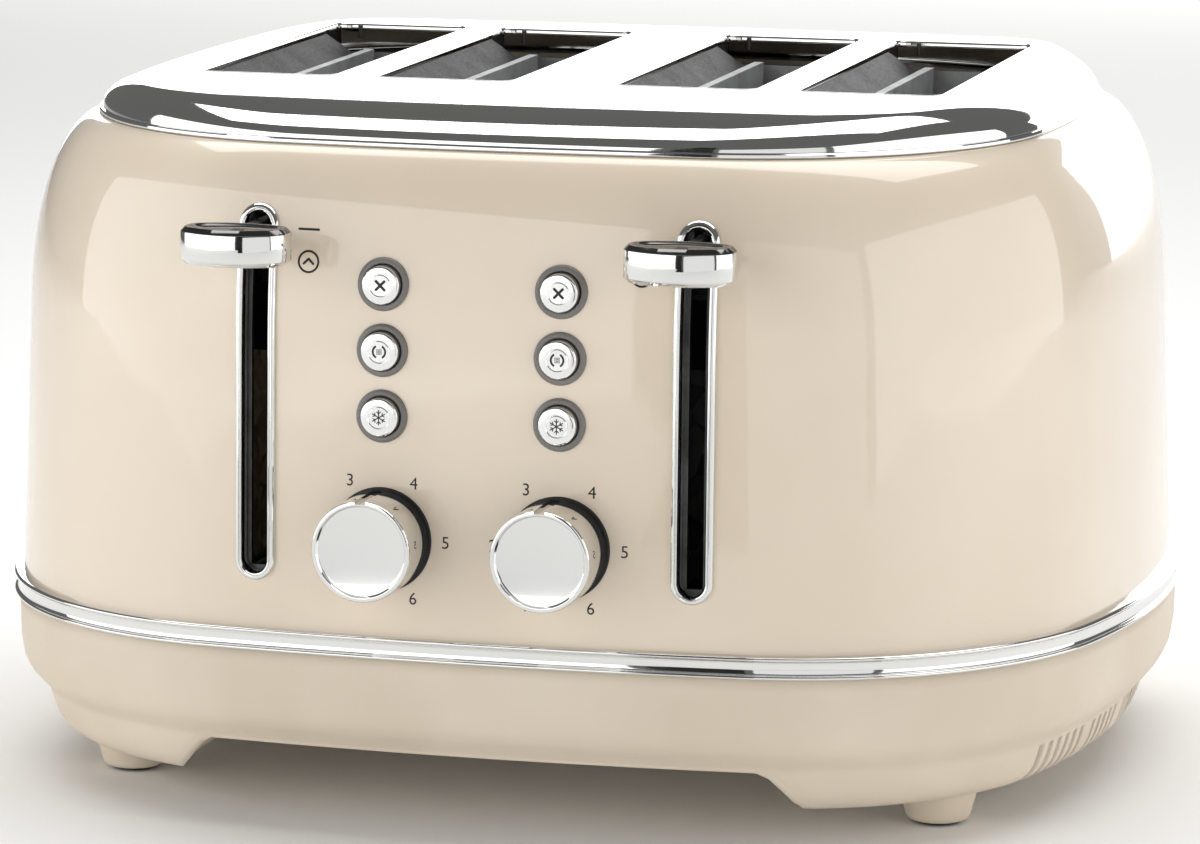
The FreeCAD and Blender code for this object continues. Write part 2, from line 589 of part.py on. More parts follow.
def make_dials():
    for name, side in SIDES:
        x = side * BUTTON_X
        back = front_wall(x, DIAL_Z) - DIAL_RING_PROUD - DIAL_GAP
        shaft_front = DIAL_FACE_Y + SHAFT_INSET
        knob = rod_y(x, DIAL_Z, DIAL_R, DIAL_FACE_Y, back)
        rim = [e for e in knob.Edges if e.BoundBox.YMax < DIAL_FACE_Y + 0.1]
        knob = knob.makeChamfer(DIAL_EDGE, rim)
        face = rod_y(x, DIAL_Z, DIAL_R - DIAL_RIM, DIAL_FACE_Y - 1, DIAL_FACE_Y + DIAL_DISH)
        half = DIAL_NOTCH_WIDTH / 2
        notch = box(x - half, x + half, DIAL_FACE_Y - 1, back + 1,
                    DIAL_Z + DIAL_R - DIAL_NOTCH_DEPTH, DIAL_Z + DIAL_R + 1)
        hole = rod_y(x, DIAL_Z, SHAFT_R, shaft_front, back + 1)
        save("browning_dial_" + name, knob.cut([face, notch, hole]))
        save("dial_shaft_" + name, rod_y(x, DIAL_Z, SHAFT_R, shaft_front, BOARD_Y - 3))
        case_front = BOARD_Y - POT_LENGTH
        neck_front = case_front - POT_NECK_LENGTH
        neck = rod_y(x, DIAL_Z, POT_NECK_R, neck_front, case_front)
        pot = rod_y(x, DIAL_Z, POT_R, case_front, BOARD_Y).fuse(neck)
        bore = rod_y(x, DIAL_Z, SHAFT_R + RUN_CLEAR, neck_front - 1, BOARD_Y - 2.5)
        save("dial_control_" + name, pot.cut(bore))


def make_boards():
    for name, side in SIDES:
        x = side * BUTTON_X
        pieces = [box(x - BOARD_HALF_WIDTH, x + BOARD_HALF_WIDTH, BOARD_Y, BOARD_Y + BOARD_THICK,
                      BOARD_LOW, BOARD_TOP)]
        half = SWITCH_HALF
        front = BOARD_Y - SWITCH_HEIGHT
        pieces += [box(x - half, x + half, front, BOARD_Y, z - half, z + half) for z in BUTTON_Z]
        save("control_board_" + name, fuse(pieces))


# ---------------------------------------------------------------- oven and chassis
def slot_centres(side):
    return (side * SLOT_INNER_X, side * SLOT_OUTER_X)


def rack_cuts(y0, y1):
    half = RACK_SLOT / 2
    return [box(x - half, x + half, y0, y1, CHASSIS_LOW - 1, RACK_TOP + 3)
            for _, side in SIDES for x in slot_centres(side)]


def make_chassis():
    y = OVEN_FRONT_Y - PLATE
    front = box(-OVEN_HALF_WIDTH, OVEN_HALF_WIDTH, y, OVEN_FRONT_Y, CHASSIS_LOW, CHASSIS_TOP)
    front = front.cut(rack_cuts(y - 1, OVEN_FRONT_Y + 1))
    extras = []
    for _, side in SIDES:
        x = side * LEVER_X
        half = TAB_HALF_WIDTH
        for low in (TAB_LOW_Z, CHASSIS_TOP - 4):
            extras.append(box(x - half, x + half, SLIDER_FRONT_Y - 1, y, low, low + TAB_THICK))
        for z in (BOARD_LOW + BOARD_POST_INSET, BOARD_TOP - BOARD_POST_INSET):
            extras.append(rod_y(side * BOARD_POST_X, z, BOARD_POST_R, BOARD_Y + BOARD_THICK, y))
    save("chassis_front_plate", fuse([front] + extras))
    back = box(-OVEN_HALF_WIDTH, OVEN_HALF_WIDTH, OVEN_BACK_Y, OVEN_BACK_Y + PLATE, CHASSIS_LOW, CHASSIS_TOP)
    save("chassis_rear_plate", back.cut(rack_cuts(OVEN_BACK_Y - 1, OVEN_BACK_Y + PLATE + 1)))
    floor = BASE_BOTTOM + BASE_WALL
    for name, side in SIDES:
        x = side * OVEN_HALF_WIDTH
        wall = box(x, x + side * PLATE, OVEN_FRONT_Y - PLATE, OVEN_BACK_Y + PLATE, floor, CHASSIS_TOP)
        reach = SCREW_Y + LEDGE_MARGIN_Y
        ledge = box(x, side * (SCREW_X + LEDGE_MARGIN_X), -reach, reach, floor, floor + PLATE)
        holes = [rod_z(sx, sy, SCREW_R + FIT_CLEAR, floor - 1, floor + 3) for sx, sy in screw_spots()]
        save("heat_shield_" + name, fuse([wall, ledge]).cut(holes))
        half = CARD_THICK / 2
        cards = [box(side * cx - half, side * cx + half, OVEN_FRONT_Y, OVEN_BACK_Y, CARD_LOW, CARD_TOP)
                 for cx in CARD_X]
        save("heater_cards_" + name, Part.makeCompound(cards))
        guards = [guard(cx + way * GUARD_GAP / 2) for cx in slot_centres(side) for way in (-1, 1)]
        save("bread_guards_" + name, Part.makeCompound(guards))


def guard(x):
    """One wire guard: two long wires joined by upright ones."""
    low, top = CARD_LOW, CARD_TOP
    wires = [rod_y(x, z, GUARD_WIRE_R, OVEN_FRONT_Y, OVEN_BACK_Y) for z in (low, top)]
    span = OVEN_BACK_Y - OVEN_FRONT_Y
    for i in range(GUARD_WIRES):
        wires.append(rod_z(x, OVEN_FRONT_Y + span * (i + 0.5) / GUARD_WIRES, GUARD_WIRE_R, low, top))
    return fuse(wires)


# ---------------------------------------------------------------- lift
def lens_outline(z):
    """Plan outline of the lever knob: bowed front and back, short straight ends."""
    half = KNOB_WIDTH / 2
    front, back = KNOB_Y - KNOB_DEPTH / 2, KNOB_Y + KNOB_DEPTH / 2
    corners = [(-half, front + KNOB_FRONT_BULGE), (half, front + KNOB_FRONT_BULGE),
               (half, back - KNOB_REAR_BULGE), (-half, back - KNOB_REAR_BULGE)]
    a, b, c, d = [vec(x, y, z) for x, y in corners]
    edges = [Part.Arc(a, vec(0, front, z), b).toShape(), Part.LineSegment(b, c).toShape(),
             Part.Arc(c, vec(0, back, z), d).toShape(), Part.LineSegment(d, a).toShape()]
    return Part.Wire(edges)


def make_lift():
    slider_top = SLIDER_LOW + SLIDER_HEIGHT
    tab_top = TAB_LOW_Z + TAB_THICK
    rod_top = CHASSIS_TOP - 4
    keeper_low = SLIDER_LOW - KEEPER_THICK
    for name, side in SIDES:
        x = side * LEVER_X
        save("guide_rod_" + name, rod_z(x, ROD_Y, ROD_R, tab_top, rod_top))

        block = box(x - SLIDER_HALF_WIDTH, x + SLIDER_HALF_WIDTH, SLIDER_FRONT_Y, SLIDER_BACK_Y,
                    SLIDER_LOW, slider_top)
        cross = box(side * (SLOT_INNER_X - CROSS_REACH), side * (SLOT_OUTER_X + CROSS_REACH),
                    SLIDER_BACK_Y, SLIDER_BACK_Y + CROSS_THICK, RACK_TOP - RACK_HEIGHT - 4, slider_top)
        over_tab = box(x - TAB_HALF_WIDTH - TAB_CLEAR, x + TAB_HALF_WIDTH + TAB_CLEAR,
                       SLIDER_BACK_Y - 1, SLIDER_BACK_Y + CROSS_THICK + 1,
                       TAB_LOW_Z, tab_top + LEVER_TRAVEL + TAB_CLEAR)
        cross = cross.cut(over_tab)
        arm = box(x - ARM_THICKNESS / 2, x + ARM_THICKNESS / 2, KNOB_Y, SLIDER_FRONT_Y,
                  KNOB_Z - ARM_HEIGHT / 2, KNOB_Z + ARM_HEIGHT / 2)
        bore = rod_z(x, ROD_Y, ROD_R + RUN_CLEAR, SLIDER_LOW - 1, slider_top + 1)
        save("lift_slider_" + name, fuse([block, cross, arm]).cut(bore))
        keeper = box(x - MAGNET_HALF, x + MAGNET_HALF, MAGNET_Y - KEEPER_HALF, MAGNET_Y + KEEPER_HALF,
                     keeper_low, SLIDER_LOW)
        save("keeper_plate_" + name, keeper)
        save("holding_magnet_" + name, make_magnet(x, tab_top, keeper_low - LEVER_TRAVEL - MAGNET_GAP))
        save("lift_spring_" + name, make_spring(x, tab_top, SLIDER_LOW))

        for place, rack_x in zip(("inner", "outer"), slot_centres(side)):
            save("bread_rack_" + place + "_" + name, make_rack(rack_x))

        knob = prism(lens_outline(KNOB_Z - KNOB_HEIGHT / 2), KNOB_HEIGHT)
        upright = [e for e in knob.Edges if e.BoundBox.ZLength > KNOB_HEIGHT - 0.1]
        knob = knob.makeFillet(KNOB_CORNER, upright)
        rims = [e for e in knob.Edges if e.BoundBox.ZLength < 0.1]
        knob = knob.makeChamfer(KNOB_CHAMFER, rims)
        knob.translate(vec(x, 0, 0))
        save("lever_knob_" + name, knob.cut(arm))


def make_magnet(x, z0, z1):
    """E-shaped yoke with a coil round its middle leg."""
    half = MAGNET_HALF
    yoke = box(x - half, x + half, MAGNET_Y - half / 2, MAGNET_Y + half / 2, z0, z1)
    coil = rod_z(x, MAGNET_Y, COIL_R, z0 + 4, z1 - 3)
    return fuse([yoke, coil])


def make_spring(x, z0, z1):
    """Coil spring of round wire whose ends lie inside its length."""
    height = z1 - z0 - 2 * SPRING_WIRE_R
    helix = Part.makeHelix(height / SPRING_TURNS, height, SPRING_R)
    section = Part.Wire(Part.makeCircle(SPRING_WIRE_R, vec(SPRING_R, 0, 0), vec(0, 1, 0)))
    coil = Part.Wire(helix).makePipeShell([section], True, True)
    coil.translate(vec(x, ROD_Y, z0 + SPRING_WIRE_R))
    return coil


def make_rack(x):
    low = RACK_TOP - RACK_HEIGHT
    y0, y1 = SLIDER_BACK_Y + CROSS_THICK, OVEN_BACK_Y + RACK_OVERRUN
    pieces = [box(x - RACK_STRIP / 2, x + RACK_STRIP / 2, y0, y1, low, RACK_TOP)]
    span = SLOT_LENGTH - 2 * RACK_END_GAP
    for i in range(RACK_BARS):
        y = SLOT_Y - span / 2 + span * i / (RACK_BARS - 1)
        pieces.append(box(x - RACK_BAR / 2, x + RACK_BAR / 2, y - 1, y + 1, RACK_TOP - 1.5, RACK_TOP))
    return fuse(pieces)


# ---------------------------------------------------------------- trays and cord gland
def make_trays():
    shell = base_solid(0).cut(base_solid(BASE_WALL))
    for name, side in SIDES:
        x0, x1 = side * TRAY_IN_X, side * TRAY_OUT_X
        w = TRAY_WALL
        panel = tray_window(side, 0).common(shell)
        pan_back = panel.BoundBox.YMin + 1.5
        pan = box(x0, x1, TRAY_FRONT_Y, pan_back, TRAY_LOW, TRAY_TOP)
        hollow = box(x0 + side * w, x1 - side * w, TRAY_FRONT_Y + w, pan_back + CUT_SPARE,
                     TRAY_LOW + w, TRAY_TOP + 1)
        pan = pan.cut(hollow)
        middle = (x0 + x1) / 2
        sill = box(x0, x1, pan_back, BODY_HALF_DEPTH, TRAY_LOW, TRAY_LOW + w).common(base_solid(1))
        lip_y = BODY_HALF_DEPTH - 5
        lip_end = lip_y + TRAY_LIP
        lip_low, lip_top = TRAY_LOW + 3, TRAY_LOW + 3 + TRAY_LIP_THICK
        half = TRAY_LIP_HALF
        lip = box(middle - half, middle + half, lip_y - 2, lip_end, lip_low, lip_top)
        hook = box(middle - half, middle + half, lip_end - TRAY_HOOK_THICK, lip_end,
                   lip_low - TRAY_LIP_THICK, lip_top)
        save("crumb_tray_" + name, fuse([pan, panel, sill, lip, hook]))


def make_gland():
    wall_y = BODY_HALF_DEPTH - BASE_DEPTH_SHARE * BASE_PROFILE[-1][1] + 0.05
    start = GLAND_END_Y - GLAND_LENGTH
    nose_y = GLAND_END_Y - GLAND_NOSE
    barrel = rod_y(0, GLAND_Z, GLAND_R, start, nose_y)
    collar = rod_y(0, GLAND_Z, GLAND_R + GLAND_COLLAR, wall_y, wall_y + GLAND_COLLAR_LENGTH)
    nose = Part.makeCone(GLAND_R, GLAND_R - 1, GLAND_NOSE, vec(0, nose_y, GLAND_Z), vec(0, 1, 0))
    bore = rod_y(0, GLAND_Z, GLAND_BORE_R, start - 1, GLAND_END_Y + 1)
    save("cord_gland", fuse([barrel, collar, nose]).cut(bore))


make_base()
make_feet()
make_screws()
make_belt()
make_body_shell()
make_lid()
make_front_trim()
make_buttons()
make_dials()
make_boards()
make_chassis()
make_lift()
make_trays()
make_gland()
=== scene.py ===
import math

import bmesh
import bpy
import numpy as np
from mathutils import Matrix, Vector


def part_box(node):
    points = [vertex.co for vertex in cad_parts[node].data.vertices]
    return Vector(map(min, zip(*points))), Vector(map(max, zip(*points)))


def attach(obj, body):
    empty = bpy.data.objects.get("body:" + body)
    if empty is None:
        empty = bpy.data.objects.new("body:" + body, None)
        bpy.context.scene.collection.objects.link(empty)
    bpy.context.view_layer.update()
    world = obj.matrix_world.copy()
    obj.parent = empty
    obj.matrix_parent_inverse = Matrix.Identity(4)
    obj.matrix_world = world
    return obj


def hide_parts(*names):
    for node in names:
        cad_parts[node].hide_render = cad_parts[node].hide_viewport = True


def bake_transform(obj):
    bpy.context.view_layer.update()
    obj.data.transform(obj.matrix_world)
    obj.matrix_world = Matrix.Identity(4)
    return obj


# Four-slice pop-up toaster: cream enamelled shell on a cream plastic base, with chrome lid, belt and controls.
# Sizes are in millimetres about the middle of the body and turn to metres in the row frame as each mesh is made.

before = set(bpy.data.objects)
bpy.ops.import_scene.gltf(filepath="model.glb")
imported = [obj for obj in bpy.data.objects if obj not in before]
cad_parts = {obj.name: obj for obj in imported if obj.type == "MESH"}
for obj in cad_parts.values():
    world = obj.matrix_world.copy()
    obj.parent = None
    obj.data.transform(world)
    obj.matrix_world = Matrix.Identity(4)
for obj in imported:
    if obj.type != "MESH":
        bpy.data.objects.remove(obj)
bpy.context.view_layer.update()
MM = 0.001
belt_low, belt_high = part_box("belt_trim")
BODY_Y = (belt_low[1] + belt_high[1]) / 2 / MM

# ---------------------------------------------------------------- sizes
HALF_WIDTH = 164.7
HALF_DEPTH = 141.3
FRONT_ARC = 768.8
SIDE_ARC = 271.7
CORNER_ARC = 93.4
TOP = 195.0
BELT_LOW = 48.7
BELT_TALL = 6.35
BELT_HIGH = BELT_LOW + BELT_TALL

SHELL_TOP = 184.6
SHELL_WALL = 1.5
FOOT_INSET = 3.1
TAPER = 0.045
SHOULDER = 49.6
SHOULDER_Z = SHELL_TOP - SHOULDER
SHOULDER_DEPTH = 19.3
DEPTH_SHARE = 0.73
TOP_INSET = FOOT_INSET + TAPER * (SHELL_TOP - BELT_HIGH) + SHOULDER_DEPTH

LID_HALF_WIDTH = HALF_WIDTH - TOP_INSET + 1.2
LID_HALF_DEPTH = HALF_DEPTH - DEPTH_SHARE * TOP_INSET + 1.2
LID_SIDE_ARC = 447.0
LID_CORNER_ARC = 85.2
FLAT_HALF_WIDTH = LID_HALF_WIDTH - 22.1
FLAT_HALF_DEPTH = LID_HALF_DEPTH - 22.9
FLAT_Y = 4.0
FLAT_ARC = 6000.0
FLAT_CORNER = 22.0
LID_LIP = 1.2
LID_FLANGE = 1.4
RIM_RISE = 0.15           # rolled slot rims stand over the flat by this much

SLOT_X = (-86.9, -35.0, 35.0, 86.9)
SLOT_Y = 17.8
SLOT_HALF = (20.1, 66.7)
SLOT_CORNER = 4.0

BASE_BOTTOM = 10.0
BASE_SHARE = 0.9
BASE_WALL = 2.2
BASE_EDGE = 3.0           # soft edge all round the underside
ARCH_TOP = 21.5
ARCH_FLAT = 76.0
ARCH_RAMP = 17.0
BASE_PROFILE = ((10.0, 18.6), (10.7, 16.2), (11.9, 14.2), (13.8, 12.4), (16.2, 11.2), (19.0, 10.3), (22.4, 9.4),
                (24.3, 7.6), (27.2, 4.6), (30.4, 2.7), (36.0, 1.8), (48.7, 1.5))
VENT_GROUPS = ((-75.0, 6), (-41.0, 5), (-10.0, 5), (21.0, 5), (50.0, 6))     # first slit's place, and how many
VENT_PITCH = 5.0
VENT_HALF = 1.25
VENT_Z = (11.0, 21.8)
TRAY_WINDOW_X = (13.6, 108.3)
TRAY_WINDOW_Z = (23.9, 34.2)
GLAND_Z = 38.5
GLAND_HOLE_R = 6.1

LEVER_X = 60.8
SLOT_LOW = 67.9
SLOT_HIGH = 169.7
FRAME_HALF = 5.75
KNOB_Y = -150.5
KNOB_Z = 161.0
BUTTON_X = 24.6
BUTTONS = (("cancel", 149.9), ("reheat", 132.25), ("defrost", 114.6))
DIAL_Z = 81.3
DIAL_R = 13.7
DIAL_FACE_Y = -156.5
NUMERAL_SIZE = 4.7
NUMERAL_R = 18.0
FOOT_X = 116.3
FOOT_Y = 80.75
SPRING_COILS = 13
SPRING_Z = (39.9, 145.6)
SPRING_Y = -78.0
SPRING_R = 4.2
SPRING_WIRE = 0.5
HEATER_CARDS = (11.3, 60.95, 110.5)
SIDES = (("left", -1), ("right", 1))


# ---------------------------------------------------------------- meshes
def piece(name, points, faces, finish, body="toaster_body", slot=None, replaces=(), sharp=35.0):
    """A mesh piece from points in millimetres, riding on a body."""
    mesh = bpy.data.meshes.new(name)
    rows = np.array(points, float)
    rows[:, 1] += BODY_Y
    mesh.from_pydata((rows * MM).tolist(), [], faces)
    mesh.validate()
    mesh.shade_smooth()
    mesh.set_sharp_from_angle(angle=math.radians(sharp))
    made = bpy.data.objects.new(name, mesh)
    bpy.context.scene.collection.objects.link(made)
    if finish is not None:
        mesh.materials.append(finish)
        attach(made, body)
        if replaces:
            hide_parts(*replaces)
    return made


def skin(rings, join=False, cap_first=False, cap_last=False):
    """Points and quads of closed rings laid one after another; join ties the last ring back to the first."""
    count, around = len(rings), len(rings[0])
    points = np.concatenate([np.asarray(r, float) for r in rings])
    faces = []
    for i in range(count if join else count - 1):
        j = (i + 1) % count
        for k in range(around):
            m = (k + 1) % around
            faces.append((i * around + k, i * around + m, j * around + m, j * around + k))
    if cap_first:
        faces.append(tuple(range(around - 1, -1, -1)))
    if cap_last:
        faces.append(tuple((count - 1) * around + k for k in range(around)))
    return points, faces


def gather(parts):
    """Several (points, faces) as one."""
    points, faces, start = [], [], 0
    for some, quads in parts:
        points.append(np.asarray(some, float))
        faces += [tuple(start + i for i in face) for face in quads]
        start += len(some)
    return np.concatenate(points), faces


def outline(half_width, half_depth, front, side, corner, yc=0.0, steps=(72, 30, 36)):
    """Plan outline of long front and back arcs, side arcs and tangent corner arcs, as an array of x and y."""
    fx, fy = 0.0, front - half_depth      # centre of the front arc, then of the right side's
    sx, sy = half_width - side, 0.0
    near, far = front - corner, side - corner
    d = math.hypot(sx - fx, sy - fy)
    along = (near * near - far * far + d * d) / (2 * d)
    across = math.sqrt(near * near - along * along)
    ex, ey = (sx - fx) / d, (sy - fy) / d
    qx, qy = fx + along * ex, fy + along * ey
    cx, cy = max((qx - across * ey, qy + across * ex), (qx + across * ey, qy - across * ex))
    af = math.atan2(cy - fy, cx - fx)
    bs = math.atan2(cy - sy, cx - sx)
    pi = math.pi
    arcs = ((fx, fy, front, -pi - af, af, steps[0]), (cx, cy, corner, af, bs, steps[1]),
            (sx, sy, side, bs, -bs, steps[2]), (cx, -cy, corner, -bs, -af, steps[1]),
            (-fx, -fy, front, -af, pi + af, steps[0]), (-cx, -cy, corner, pi + af, pi + bs, steps[1]),
            (-sx, sy, side, pi + bs, pi - bs, steps[2]), (-cx, cy, corner, pi - bs, pi - af, steps[1]))
    rows = []
    for ox, oy, r, start, end, count in arcs:
        turn = np.linspace(start, end, count, endpoint=False)
        rows.append(np.stack([ox + r * np.cos(turn), oy + r * np.sin(turn)], axis=1))
    flat = np.concatenate(rows)
    flat[:, 1] += yc
    return flat


def lift(flat, z):
    """A plan outline as a ring at height z."""
    return np.column_stack([flat, np.full(len(flat), z) if np.isscalar(z) else z])


def shell_inset(z):
    inset = FOOT_INSET + TAPER * (z - BELT_HIGH)
    if z > SHOULDER_Z:
        t = min(1.0, (z - SHOULDER_Z) / SHOULDER)
        inset += SHOULDER_DEPTH * (1 - math.sqrt(1 - t * t))
    return inset


def shell_ring(z, offset=0.0):
    inset = shell_inset(z)
    share = inset / TOP_INSET
    side = 1 / ((1 - share) / SIDE_ARC + share / LID_SIDE_ARC)
    corner = CORNER_ARC + share * (LID_CORNER_ARC - CORNER_ARC)
    lean = max(0.0, (z - SHOULDER_Z) / SHOULDER) ** 2
    flat = outline(HALF_WIDTH - inset - offset, HALF_DEPTH - DEPTH_SHARE * inset - offset,
                   FRONT_ARC - offset, side - offset, corner - offset)
    return lift(flat, z - offset * lean)


def front_wall(x, z):
    """Y of the shell's outer face at the front."""
    half_depth = HALF_DEPTH - DEPTH_SHARE * np.vectorize(shell_inset)(z)
    return -half_depth + FRONT_ARC - np.sqrt(FRONT_ARC ** 2 - np.square(x))


def stadium(x, z0, z1, r, steps=20):
    """Upright obround (a circle when z0 equals z1) of radius r round the centres at z0 and z1, as x and z."""
    low = np.linspace(math.pi, 2 * math.pi, steps)
    high = np.linspace(0, math.pi, steps)
    rows = [np.stack([x + r * np.cos(low), z0 + r * np.sin(low)], axis=1)]
    if z1 > z0:
        rise = np.linspace(z0, z1, 12)[1:-1]
        rows.append(np.stack([np.full(len(rise), x + r), rise], axis=1))
    rows.append(np.stack([x + r * np.cos(high), z1 + r * np.sin(high)], axis=1))
    if z1 > z0:
        fall = np.linspace(z1, z0, 12)[1:-1]
        rows.append(np.stack([np.full(len(fall), x - r), fall], axis=1))
    else:
        rows[-1] = rows[-1][1:-1]
    return np.concatenate(rows)


def wall_trim(x, z0, z1, profile, steps=20):
    """Ring of trim that follows the front wall; profile gives radius and how far it stands out."""
    rings = []
    for r, proud in profile:
        spot = stadium(x, z0, z1, r, steps)
        y = front_wall(spot[:, 0], spot[:, 1]) - proud
        rings.append(np.column_stack([spot[:, 0], y, spot[:, 1]]))
    return skin(rings, join=True)


def turned(axis, centre_x, centre_2, profile, steps=72, shape=None):
    """Solid of revolution round Y at (x, z) or round Z at (x, y); profile gives radius and place along the axis."""
    turn = np.linspace(0, 2 * math.pi, steps, endpoint=False) if shape is None else shape[0]
    rings = []
    for r, at in profile:
        reach = np.full(len(turn), max(r, 0.002)) if shape is None else shape[1](turn, max(r, 0.002))
        a, b = centre_x + reach * np.cos(turn), centre_2 + reach * np.sin(turn)
        along = np.full(len(turn), at)
        rings.append(np.column_stack([a, along, b] if axis == "y" else [a, b, along]))
    return skin(rings, cap_first=True, cap_last=True)


def tube(path, r, sides=10):
    """Round wire along a path of points."""
    line = np.asarray(path, float)
    rings = []
    for i, spot in enumerate(line):
        ahead = Vector(line[min(i + 1, len(line) - 1)] - line[max(i - 1, 0)]).normalized()
        out = Vector((0, 0, 1)) if abs(ahead.z) < 0.9 else Vector((1, 0, 0))
        across = ahead.cross(out).normalized()
        over = across.cross(ahead)
        turn = np.linspace(0, 2 * math.pi, sides, endpoint=False)
        rings.append([spot + r * (np.array(across) * math.cos(t) + np.array(over) * math.sin(t)) for t in turn])
    return skin(rings, cap_first=True, cap_last=True)


def block(x0, x1, y0, y1, z0, z1):
    points = [(x, y, z) for x in (x0, x1) for y in (y0, y1) for z in (z0, z1)]
    faces = [(0, 1, 3, 2), (4, 6, 7, 5), (0, 4, 5, 1), (2, 3, 7, 6), (0, 2, 6, 4), (1, 5, 7, 3)]
    return np.array(points, float), faces


def prism_y(spot, y0, y1):
    """An x, z outline run along Y."""
    near = np.column_stack([spot[:, 0], np.full(len(spot), y0), spot[:, 1]])
    far = np.column_stack([spot[:, 0], np.full(len(spot), y1), spot[:, 1]])
    return skin([near, far], cap_first=True, cap_last=True)


def prism_z(flat, z0, z1):
    return skin([lift(flat, z0), lift(flat, z1)], cap_first=True, cap_last=True)


def cut(made, tools):
    """Cuts the tools out of a piece and gives the cut skin the shading normals of the uncut one."""
    whole = made.copy()
    whole.data = made.data.copy()
    bpy.context.scene.collection.objects.link(whole)
    tool = piece(made.name + "_cutter", *gather(tools), None)
    tidy_faces(tool)
    knife = made.modifiers.new("cut", "BOOLEAN")
    knife.object = tool
    knife.operation = "DIFFERENCE"
    knife.solver = "MANIFOLD"
    shading = made.modifiers.new("shading", "DATA_TRANSFER")
    shading.object = whole
    shading.use_loop_data = True
    shading.data_types_loops = {"CUSTOM_NORMAL"}
    shading.loop_mapping = "NEAREST_POLYNOR"
    settle(made)
    for spare in (tool, whole):
        bpy.data.objects.remove(spare)


def tidy_faces(made):
    """Turns every face of a closed mesh outwards."""
    work = bmesh.new()
    work.from_mesh(made.data)
    bmesh.ops.recalc_face_normals(work, faces=work.faces)
    work.to_mesh(made.data)
    work.free()


def settle(made):
    """Applies a piece's modifiers to its mesh."""
    graph = bpy.context.evaluated_depsgraph_get()
    bpy.context.view_layer.update()
    fresh = bpy.data.meshes.new_from_object(made.evaluated_get(graph), preserve_all_data_layers=True,
                                            depsgraph=graph)
    made.modifiers.clear()
    made.data = fresh


# ---------------------------------------------------------------- finishes
def linear(code):
    """An sRGB hex colour as linear red, green, blue and alpha."""
    parts = [int(code[i:i + 2], 16) / 255 for i in (1, 3, 5)]
    return tuple(c / 12.92 if c <= 0.04045 else ((c + 0.055) / 1.055) ** 2.4 for c in parts) + (1.0,)


NOISE = "ShaderNodeTexNoise"
CELLS = "ShaderNodeTexVoronoi"
WAVES = "ShaderNodeTexWave"
RAMP = "ShaderNodeValToRGB"
RANGE = "ShaderNodeMapRange"
BUMP = "ShaderNodeBump"


def node(material, kind, inputs=(), feeds=(), stops=(), **settings):
    """Adds a node with its settings and links. An input is a socket and its value or (node, output), a feed is an
    output, a node and its socket, and a stop is a place on a colour ramp and its colour."""
    made = material.node_tree.nodes.new(kind)
    links = material.node_tree.links
    for name, value in settings.items():
        setattr(made, name, value)
    for count, (at, colour) in enumerate(stops):
        made.color_ramp.elements[count].position = at
        made.color_ramp.elements[count].color = linear(colour)
    for socket, value in inputs:
        if isinstance(value, tuple) and isinstance(value[0], bpy.types.Node):
            links.new(value[0].outputs[value[1]], made.inputs[socket])
        else:
            made.inputs[socket].default_value = value
    for output, target, socket in feeds:
        links.new(made.outputs[output], target.inputs[socket])
    return made


def finish(name, colour, roughness, metallic=0.0, **sockets):
    """A material with its surface shader; returns both and the place on the object in metres."""
    material = bpy.data.materials.new(name)
    material.use_nodes = True
    shader = material.node_tree.nodes["Principled BSDF"]
    shader.inputs["Base Color"].default_value = linear(colour)
    shader.inputs["Roughness"].default_value = roughness
    shader.inputs["Metallic"].default_value = metallic
    for socket, value in sockets.items():
        shader.inputs[socket.replace("_", " ")].default_value = value
    place = node(material, "ShaderNodeTexCoord")
    return material, shader, (place, "Object")


def per_mm(size):
    """Texture scale that gives a pattern of this size in millimetres."""
    return 1 / (size * MM)


def enamel():
    """Stove enamel on pressed steel: deep gloss, with the faint orange peel of a sprayed and fired coat."""
    material, shader, place = finish("cream_stove_enamel", "#E9DAC4", 0.32, Coat_Weight=1.0, Coat_Roughness=0.035,
                                     Coat_IOR=1.55)
    drift = node(material, NOISE, [("Vector", place), ("Scale", per_mm(70.0)), ("Detail", 3.0)])
    node(material, RAMP, [("Fac", (drift, "Fac"))], [("Color", shader, "Base Color")],
         [(0.35, "#E6D6C0"), (0.65, "#ECDDC8")])
    peel = node(material, NOISE, [("Vector", place), ("Scale", per_mm(2.2)), ("Detail", 1.0)])
    node(material, BUMP, [("Height", (peel, "Fac")), ("Distance", 0.004 * MM), ("Strength", 0.35)],
         [("Normal", shader, "Coat Normal"), ("Normal", shader, "Normal")])
    return material


def chrome(name="chrome_plate", colour="#E4E4E2", roughness=0.045):
    """Chrome plating on polished metal: mirror bright, with the slight haze of handling and fine polish waves."""
    material, shader, place = finish(name, colour, roughness, 1.0)
    haze = node(material, NOISE, [("Vector", place), ("Scale", per_mm(18.0)), ("Detail", 4.0)])
    node(material, RANGE, [("Value", (haze, "Fac")), ("From Min", 0.35), ("From Max", 0.7),
                           ("To Min", roughness * 0.7), ("To Max", roughness * 1.5)],
         [("Result", shader, "Roughness")])
    waves = node(material, NOISE, [("Vector", place), ("Scale", per_mm(9.0)), ("Detail", 1.0)])
    node(material, BUMP, [("Height", (waves, "Fac")), ("Distance", 0.006 * MM), ("Strength", 0.4)],
         [("Normal", shader, "Normal")])
    return material


